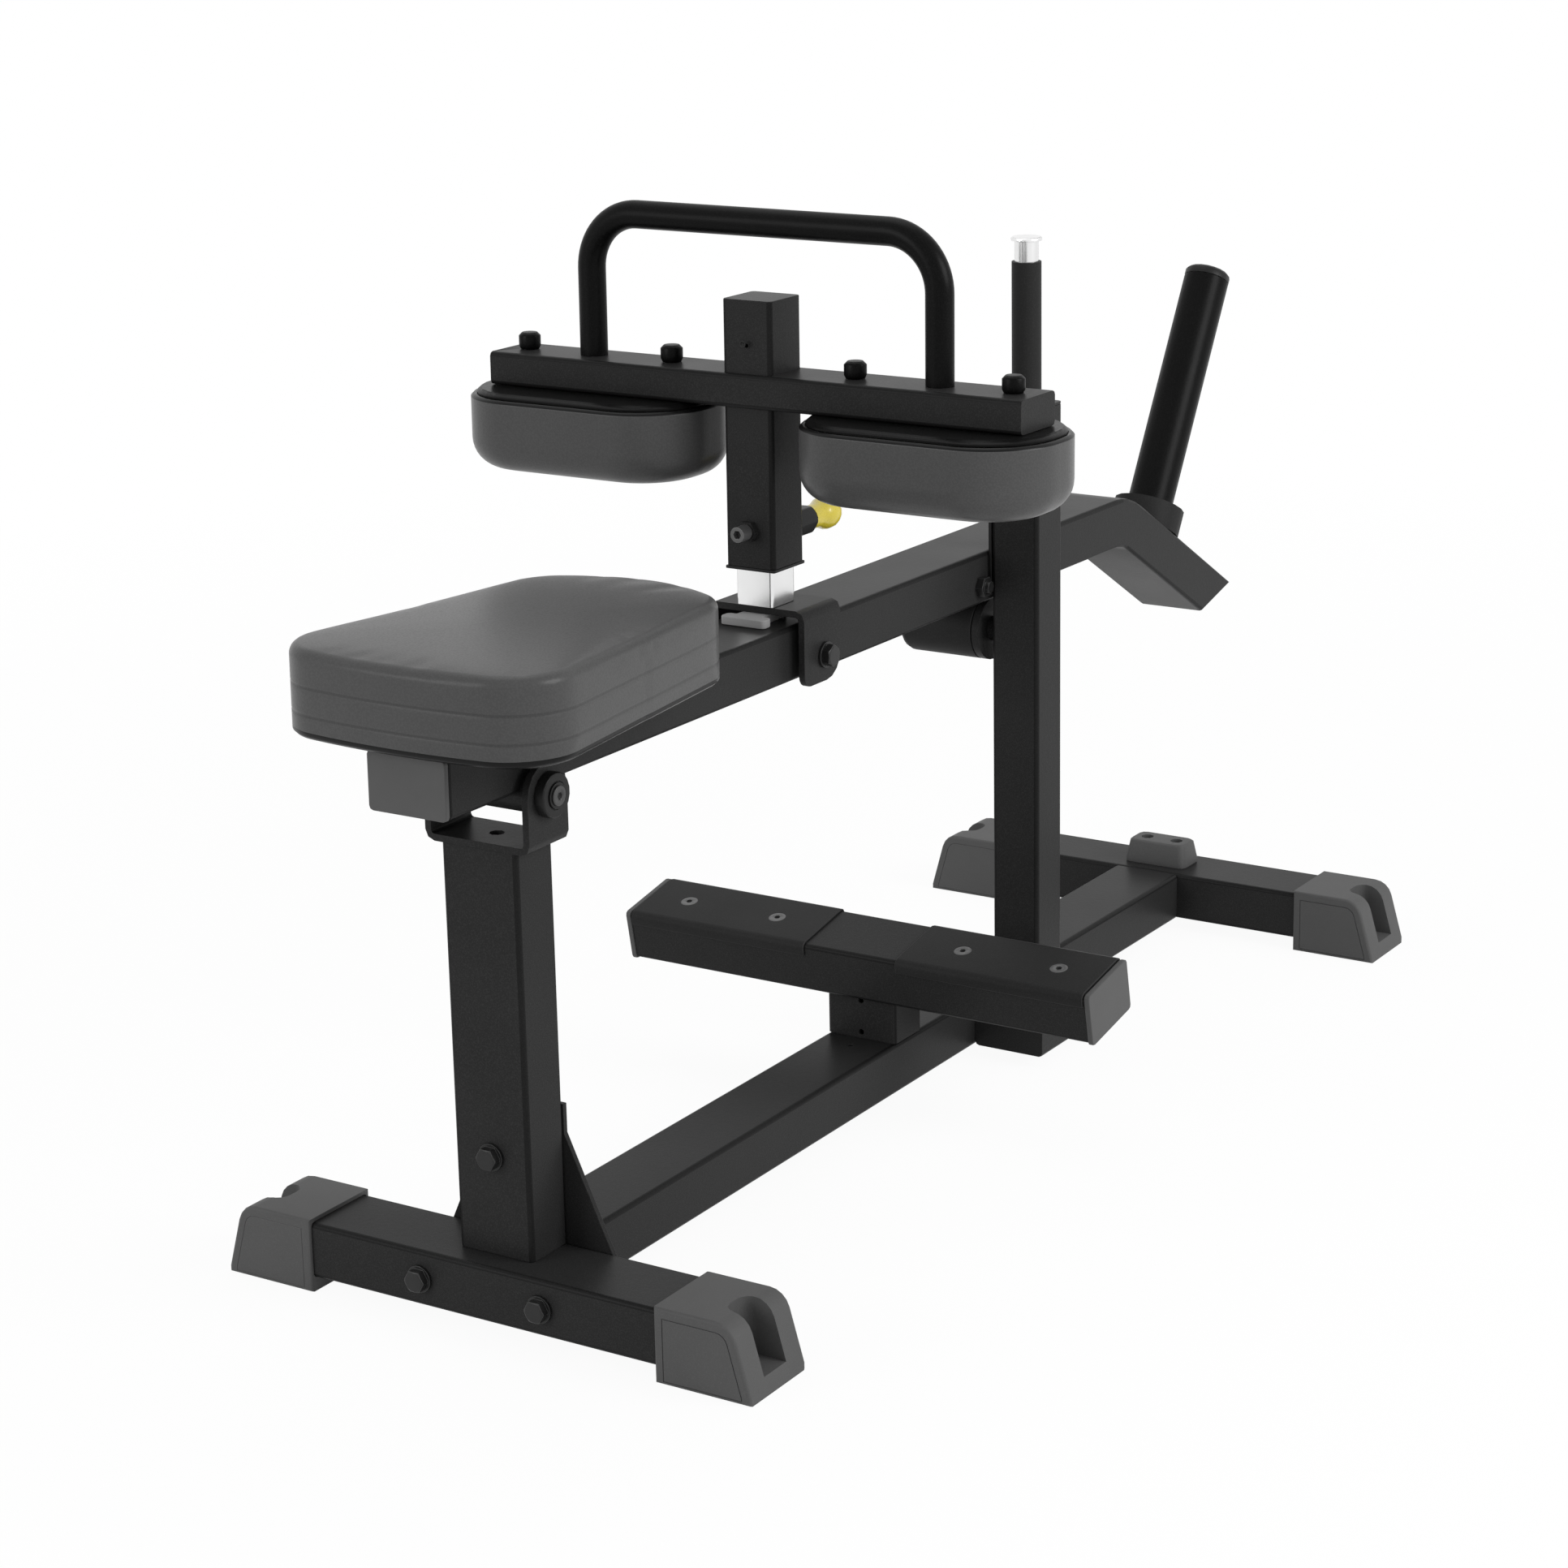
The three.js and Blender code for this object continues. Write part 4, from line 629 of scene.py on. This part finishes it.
def half_width(outline, y):
    """How far a convex outline reaches to the right at one place along it."""
    reach = 0
    for start, end in zip(outline, outline[1:] + outline[:1]):
        if start.y != end.y and min(start.y, end.y) <= y <= max(start.y, end.y):
            share = (y - start.y) / (end.y - start.y)
            reach = max(reach, start.x + (end.x - start.x) * share)
    return reach


def rounded_outline(corners):
    """A closed outline with straight sides. Each corner has a place and a radius."""
    outline = []
    for i, (corner, radius) in enumerate(corners):
        before = (corners[i - 1][0] - corner).normalized()
        after = (corners[(i + 1) % len(corners)][0] - corner).normalized()
        half = before.angle(after) / 2
        centre = corner + (before + after).normalized() * radius / math.sin(half)
        first = corner + before * radius / math.tan(half) - centre
        for step in range(arc_steps + 1):
            turn = Matrix.Rotation((math.pi - 2 * half) * step / arc_steps, 2)
            outline.append(centre + turn @ first)
    return outline


def evenly_spaced(outline, spacing):
    """The same outline with points at equal distances along it."""
    stretches = list(zip(outline, outline[1:] + outline[:1]))
    total = sum((end - start).length for start, end in stretches)
    count = round(total / spacing)
    points = []
    walked = 0
    for start, end in stretches:
        length = (end - start).length
        while len(points) < count and len(points) * total / count <= walked + length:
            share = (len(points) * total / count - walked) / length
            points.append(start.lerp(end, share))
        walked += length
    return points


def inset_outline(outline, depth):
    """An outline moved inwards by a depth."""
    inner = []
    for i, point in enumerate(outline):
        along = outline[(i + 1) % len(outline)] - outline[i - 1]
        inner.append(point + Vector((-along.y, along.x)).normalized() * depth)
    return inner


def cover_outline(copy, form):
    """The outline of a CAD cushion, grown by the foam, with its own corners and bowed ends."""
    places = [point.co.xy for point in copy.verts]
    middle_x = (min(place.x for place in places) + max(place.x for place in places)) / 2
    hull = [places[i] - Vector((middle_x, 0)) for i in geometry.convex_hull_2d(places)]
    front = min(place.y for place in hull)
    rear = max(place.y for place in hull)
    levels = [front + (rear - front) * share for share in straight_shares]
    widths = [half_width(hull, level) for level in levels]
    slope = (widths[1] - widths[0]) / (levels[1] - levels[0])
    front_y = front - form["front_growth"] + form["front_bow"]
    rear_y = rear + form["rear_growth"] - form["rear_bow"]
    front_x = widths[0] + (front_y - levels[0]) * slope + form["side_growth"]
    rear_x = widths[0] + (rear_y - levels[0]) * slope + form["side_growth"]
    corners = [
        (Vector((-front_x, front_y)), form["front_radius"]),
        (Vector((front_x, front_y)), form["front_radius"]),
        (Vector((rear_x, rear_y)), form["rear_radius"]),
        (Vector((-rear_x, rear_y)), form["rear_radius"]),
    ]
    outline = evenly_spaced(rounded_outline(corners), stitch_spacing)
    for point in outline:
        if point.y > levels[1]:
            point.y += form["rear_bow"] * max(0, 1 - (point.x / rear_x) ** 2)
        else:
            point.y -= form["front_bow"] * max(0, 1 - (point.x / front_x) ** 2)
        point.x += middle_x
    return outline


def side_levels(thick, drop, rim, crown, seams):
    """Height and inset of each row of the side, from the board up to the flat of the top."""
    levels = [
        (0, low_edge + drop),
        (-drop, low_edge),
        (-drop, low_edge / 2),
        (low_edge / 2 - drop, 0),
        (hem_height, 0),
    ]
    rim_start = thick - crown - rim
    count = round((rim_start - low_edge) / side_spacing)
    rows = [low_edge + (rim_start - low_edge) * i / count for i in range(count)]
    for seam in seams:
        rows = [row for row in rows if abs(row - seam) > side_spacing / 2]
        rows += [seam - seam_half, seam, seam + seam_half]
    levels += [(row, 0) for row in sorted(rows)]
    for step in range(rim_steps + 1):
        angle = quarter * step / rim_steps
        levels.append((rim_start + rim * math.sin(angle), rim * (1 - math.cos(angle))))
    return levels


def cover_rings(outline, thick, levels, crown, front_rise):
    """Rings of points up the side and over the crown. The cover is a little thicker in front."""
    rings = []
    for height, inset in levels:
        places = inset_outline(outline, inset)
        rings.append([place.to_3d() + Vector((0, 0, height)) for place in places])
    top = rings[-1]
    middle_point = sum(top, Vector()) / len(top)
    middle_point.z = thick
    for share in crown_shares:
        ring = [middle_point.lerp(point, share) for point in top]
        for point in ring:
            point.z = thick - crown * share ** 2
        rings.append(ring)
    front = min(place.y for place in outline)
    length = max(place.y for place in outline) - front
    for point in [middle_point] + [point for ring in rings for point in ring]:
        point.z *= 1 + front_rise / thick * (1 - (point.y - front) / length)
    return rings, middle_point


def closed_rings(rings, middle_point, mark, shares, middle_share=0):
    """Faces between rings, a flat one under the first and a fan over the last.

    Each row of faces has its share of a mark, which the finish reads. The rings are joined
    point by point, because a bridge between them twists some rows by a point.
    """
    mesh = bmesh.new()
    layer = mesh.faces.layers.float.new(mark)
    rows = [[mesh.verts.new(point) for point in ring] for ring in rings]
    for low, high, share in zip(rows, rows[1:], shares):
        for i in range(len(low)):
            face = mesh.faces.new((low[i - 1], low[i], high[i], high[i - 1]))
            face[layer] = share
    bottom = mesh.faces.new(list(reversed(rows[0])))
    bottom[layer] = shares[0]
    middle_vert = mesh.verts.new(middle_point)
    for i in range(len(rows[-1])):
        face = mesh.faces.new((rows[-1][i - 1], rows[-1][i], middle_vert))
        face[layer] = middle_share
    return mesh


def row_shares(levels, row_count, shaded_rows, seams):
    """How dark each row of faces is: painted shade where the cover meets its board, and in the sewn lines."""
    shares = []
    for number in range(row_count - 1):
        share = 1.0 if number < shaded_rows else 0.0
        if number + 1 < len(levels):
            middle_height = (levels[number][0] + levels[number + 1][0]) / 2
            if any(abs(middle_height - seam) < seam_half for seam in seams):
                share = seam_shade_share
        shares.append(share)
    return shares


def swell(thing, held_below):
    """Cloth pressure fills the cover like foam. Points under a height stay on the board.

    However hard it pushes, no point moves further than the most that the cover may swell.
    """
    held = thing.vertex_groups.new(name="held")
    start = [point.co.copy() for point in thing.data.vertices]
    held.add([i for i, co in enumerate(start) if co.z < held_below], 1.0, "REPLACE")
    cloth = thing.modifiers.new("cover", "CLOTH")
    settings = cloth.settings
    settings.quality = 6
    settings.mass = 0.4
    settings.tension_stiffness = 40
    settings.compression_stiffness = 40
    settings.shear_stiffness = 20
    settings.bending_stiffness = 20
    settings.use_pressure = True
    settings.uniform_pressure_force = 3
    settings.effector_weights.gravity = 0
    settings.vertex_group_mass = "held"
    cloth.point_cache.frame_start = 1
    cloth.point_cache.frame_end = cloth_frames
    scene = bpy.context.scene
    for number in range(1, cloth_frames + 1):
        scene.frame_set(number)
    seen = thing.evaluated_get(bpy.context.evaluated_depsgraph_get())
    swollen = [point.co.copy() for point in seen.data.vertices]
    thing.modifiers.remove(cloth)
    scene.frame_set(1)
    for point, first, last in zip(thing.data.vertices, start, swollen):
        way = last - first
        point.co = first + way * most_swell / (most_swell + way.length)
    thing.data.update()


def pull_seams(data, row_length, levels, seams):
    """Each sewn line is a row of points that is pulled in between two that stay."""
    for row, (height, _) in enumerate(levels):
        if height in seams:
            for i in range(row * row_length, (row + 1) * row_length):
                point = data.vertices[i]
                point.co -= Vector((point.normal.x, point.normal.y, 0)).normalized() * seam_depth
    data.update()


def cushion(node, name, form):
    """The cover of one cushion. A cushion that hangs under its board is modelled upside down."""
    turn = Matrix.Rotation(math.pi if form["hangs"] else 0, 4, "X")
    copy = merged_copy(node)
    copy.transform(turn @ lever_place.inverted())
    base = min(point.co.z for point in copy.verts)
    thick = max(point.co.z for point in copy.verts) - base + top_fullness
    outline = cover_outline(copy, form)
    copy.free()
    levels = side_levels(thick, form["drop"], form["rim"], form["crown"], form["seams"])
    rings, middle_point = cover_rings(outline, thick, levels, form["crown"], form["front_rise"])
    shares = row_shares(levels, len(rings), form["shaded_rows"], form["seams"])
    # the mark carries painted shade along the board and in the sewn lines
    mesh = closed_rings(rings, middle_point, "hem", shares)
    data = bpy.data.meshes.new(name)
    mesh.to_mesh(data)
    mesh.free()
    thing = bpy.data.objects.new(name, data)
    bpy.context.scene.collection.objects.link(thing)
    swell(thing, held_below=low_edge)
    pull_seams(thing.data, len(outline), levels, form["seams"])
    mesh = bmesh.new()
    mesh.from_mesh(thing.data)
    bpy.data.objects.remove(thing)
    mesh.transform(lever_place @ turn.inverted() @ Matrix.Translation((0, 0, base)))
    bmesh.ops.recalc_face_normals(mesh, faces=mesh.faces)
    shade(mesh, cover_angle)
    made = piece_of(mesh, name, bodies[node], "vinyl", [node])


def upholster():
    cushion("seat_cushion", "seat_cover", seat_form)
    cushion("knee_pad_right", "knee_cover_right", pad_form)
    cushion("knee_pad_left", "knee_cover_left", pad_form)


# Small fasteners
screw_sides = 24
socket_flat = math.radians(60)
sides = ((-1, "left"), (1, "right"))


def ring_at(radius, z, hexagon=False):
    """A ring of points round the origin, round or six-sided."""
    ring = []
    for i in range(screw_sides):
        angle = 4 * quarter * i / screw_sides
        off_flat = (angle + socket_flat / 2) % socket_flat - socket_flat / 2
        reach = radius / math.cos(off_flat) if hexagon else radius
        ring.append(Vector((reach * math.cos(angle), reach * math.sin(angle), z)))
    return ring


def socket_screw(radius, height, socket, depth):
    """A low round head with a hexagon socket of a width across its flats, standing on z = 0."""
    edge = height / 3
    rings = [
        ring_at(radius, 0),
        ring_at(radius, height - edge),
        ring_at(radius - edge / 3, height - edge / 3),
        ring_at(radius - edge, height),
        ring_at(socket / 2, height, hexagon=True),
        ring_at(socket / 2, height - depth, hexagon=True),
        ring_at(socket / 4, height - depth, hexagon=True),
    ]
    # the socket's faces are marked for painted shade, which the steel finish reads
    hollow_shares = [0, 0, 0, 0, 1, 1]
    bottom = Vector((0, 0, height - depth))
    return closed_rings(rings, bottom, "hollow", hollow_shares, middle_share=1)


# The foot bar's tilt in radians and the places of its screws, as the part's source gives them
foot_bar_tilt = 0.19
grip_screw_x = [103 * mm, 205 * mm]
tube_height = 50 * mm
seat_gap = 0.1 * mm
screw_radius = 8.7 * mm
screw_height = 2.0 * mm
screw_socket = 5.4 * mm
screw_depth = 1.8 * mm


def add_screw(mesh, place, name, body, slot):
    mesh.transform(place)
    shade(mesh, smooth_angle)
    piece_of(mesh, name, body, slot)


def add_grip_screws():
    """Two screws through each rubber grip into the foot bar."""
    low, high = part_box("foot_bar")
    bar = Matrix.Translation((low + high) / 2) @ Matrix.Rotation(foot_bar_tilt, 4, "X")
    for way, side in sides:
        for number, x in enumerate(grip_screw_x, 1):
            mesh = socket_screw(screw_radius, screw_height, screw_socket, screw_depth)
            place = bar @ Matrix.Translation((way * x, 0, tube_height / 2 + seat_gap))
            add_screw(mesh, place, f"grip_screw_{side}_{number}", "frame", "grey_bolt")


pivot_screw_radius = 8.4 * mm
pivot_screw_height = 1.4 * mm
pivot_screw_socket = 5.6 * mm
pivot_screw_depth = 1.2 * mm


def add_pivot_screws():
    """A plated screw in the middle of each pivot cap."""
    for way, side in sides:
        low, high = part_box("pivot_cap_" + side)
        face = high.x if way > 0 else low.x
        mesh = socket_screw(
            pivot_screw_radius, pivot_screw_height, pivot_screw_socket, pivot_screw_depth)
        turn = Matrix.Rotation(way * quarter, 4, "Y")
        place = Matrix.Translation((face + way * seat_gap, pivot.y, pivot.z)) @ turn
        add_screw(mesh, place, "pivot_screw_" + side, "frame", "grey_bolt")


plug_radius = 3.2 * mm
plug_height = 0.4 * mm
plug_dimple = 2.6 * mm
plug_depth = 0.2 * mm
plug_drop = 37.5 * mm


def add_sleeve_plug():
    """A small plug in the hole on the front of the sleeve."""
    low, high = box_on_lever("sleeve")
    mesh = socket_screw(plug_radius, plug_height, plug_dimple, plug_depth)
    hole = Matrix.Translation((0, low[1] - seat_gap, high[2] - plug_drop))
    place = lever_place @ hole @ Matrix.Rotation(quarter, 4, "X")
    add_screw(mesh, place, "sleeve_plug", bodies["sleeve"], "black_plastic")


stop_bore_x = 17.5 * mm
stop_bore_floor = 8 * mm
stop_screw_radius = 6.2 * mm
stop_screw_height = 3.5 * mm


def add_stop_screws():
    """A screw at the bottom of each bore of the rear stop."""
    low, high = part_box("rear_stop")
    floor_z = low.z + stop_bore_floor + seat_gap
    for way, side in sides:
        mesh = socket_screw(stop_screw_radius, stop_screw_height, screw_socket, screw_depth)
        place = Matrix.Translation((way * stop_bore_x, (low.y + high.y) / 2, floor_z))
        add_screw(mesh, place, "stop_screw_" + side, "frame", "black_bolt")


# The room, the lamps and the camera
pure_white = (1, 1, 1, 1)
floor_radius = 40
floor_grey = grey(244)
floor_fades = 4
shadow_share = 0.06


def rays_that_see(finish):
    """1 for the rays that show the white background: from the camera, gloss or glass."""
    camera = finish.add("ShaderNodeLightPath", out="Is Camera Ray")
    gloss = finish.add("ShaderNodeLightPath", out="Is Glossy Ray")
    through = finish.add("ShaderNodeLightPath", out="Is Transmission Ray")
    return camera.larger(gloss).larger(through)


def add_floor():
    """A pale floor that shows white, with a faint shadow near the machine."""
    mesh = bmesh.new()
    bmesh.ops.create_circle(mesh, cap_ends=True, segments=96, radius=floor_radius)
    data = bpy.data.meshes.new("floor")
    mesh.to_mesh(data)
    mesh.free()
    floor = bpy.data.objects.new("floor", data)
    bpy.context.scene.collection.objects.link(floor)
    finish = surface("pale_floor")
    length = {"operation": "LENGTH"}
    away = finish.add("ShaderNodeVectorMath", length, {0: finish.place()}, out="Value")
    far = finish.ramp(away / floor_fades, [(0.25, 0), (0.75, 1)])
    lit = finish.add("ShaderNodeBsdfDiffuse", sockets={"Color": floor_grey})
    bright = finish.add("ShaderNodeEmission", sockets={"Color": pure_white, "Strength": 1.0})
    white_share = rays_that_see(finish) * ((1 - shadow_share) + far * shadow_share)
    shader = finish.add("ShaderNodeMixShader", sockets={0: white_share, 1: lit, 2: bright})
    output(finish, "ShaderNodeOutputMaterial", shader)
    data.materials.append(finish.owner)


world_level = 0.55


def add_world():
    """An even white room. It lights the machine less than it shows."""
    world = bpy.data.worlds.new("studio")
    bpy.context.scene.world = world
    finish = Finish(world)
    light = finish.add(
        "ShaderNodeBackground", sockets={"Color": pure_white, "Strength": world_level})
    white = finish.add("ShaderNodeBackground", sockets={"Color": pure_white, "Strength": 1.0})
    seen = rays_that_see(finish)
    shader = finish.add("ShaderNodeMixShader", sockets={0: seen, 1: light, 2: white})
    output(finish, "ShaderNodeOutputWorld", shader)


machine_heart = Vector((0, 0, 0.45))


def add_lamp(name, place, size, power):
    """A round soft lamp that faces the middle of the machine. Its power is in watts."""
    lamp = bpy.data.lights.new(name, "AREA")
    lamp.shape = "DISK"
    lamp.size = size
    lamp.energy = power
    thing = bpy.data.objects.new(name, lamp)
    turn = (machine_heart - Vector(place)).to_track_quat("-Z", "Y")
    thing.matrix_world = Matrix.Translation(place) @ turn.to_matrix().to_4x4()
    bpy.context.scene.collection.objects.link(thing)


def add_lamps():
    add_lamp("right_softbox", (3.6, 0.4, 2.2), size=2.2, power=95)
    add_lamp("top_softbox", (-0.8, 0.6, 4.2), size=2.6, power=21)
    add_lamp("front_softbox", (-1.8, -4.0, 1.8), size=2.2, power=50)


# The camera stands where the photograph was taken from
camera_azimuth = math.radians(32.491)
camera_pitch = math.radians(16.454)
camera_roll = -0.0205
camera_lens = 85.10
camera_sensor = 36
camera_place = Vector((1.73293, -2.88874, 1.30289))
nearest_seen = 0.05
farthest_seen = 200


def add_camera():
    data = bpy.data.cameras.new("camera")
    data.lens = camera_lens
    data.sensor_width = camera_sensor
    data.clip_start = nearest_seen
    data.clip_end = farthest_seen
    camera = bpy.data.objects.new("camera", data)
    turn = (
        Matrix.Rotation(camera_azimuth, 4, "Z")
        @ Matrix.Rotation(quarter - camera_pitch, 4, "X")
        @ Matrix.Rotation(camera_roll, 4, "Z")
    )
    camera.matrix_world = Matrix.Translation(camera_place) @ turn
    bpy.context.scene.collection.objects.link(camera)
    bpy.context.scene.camera = camera


add_camera()
add_world()
add_lamps()
add_floor()
dress_rigid_nodes()
add_handle()
upholster()
add_grip_screws()
add_pivot_screws()
add_sleeve_plug()
add_stop_screws()
bpy.context.scene.view_settings.view_transform = "Standard"
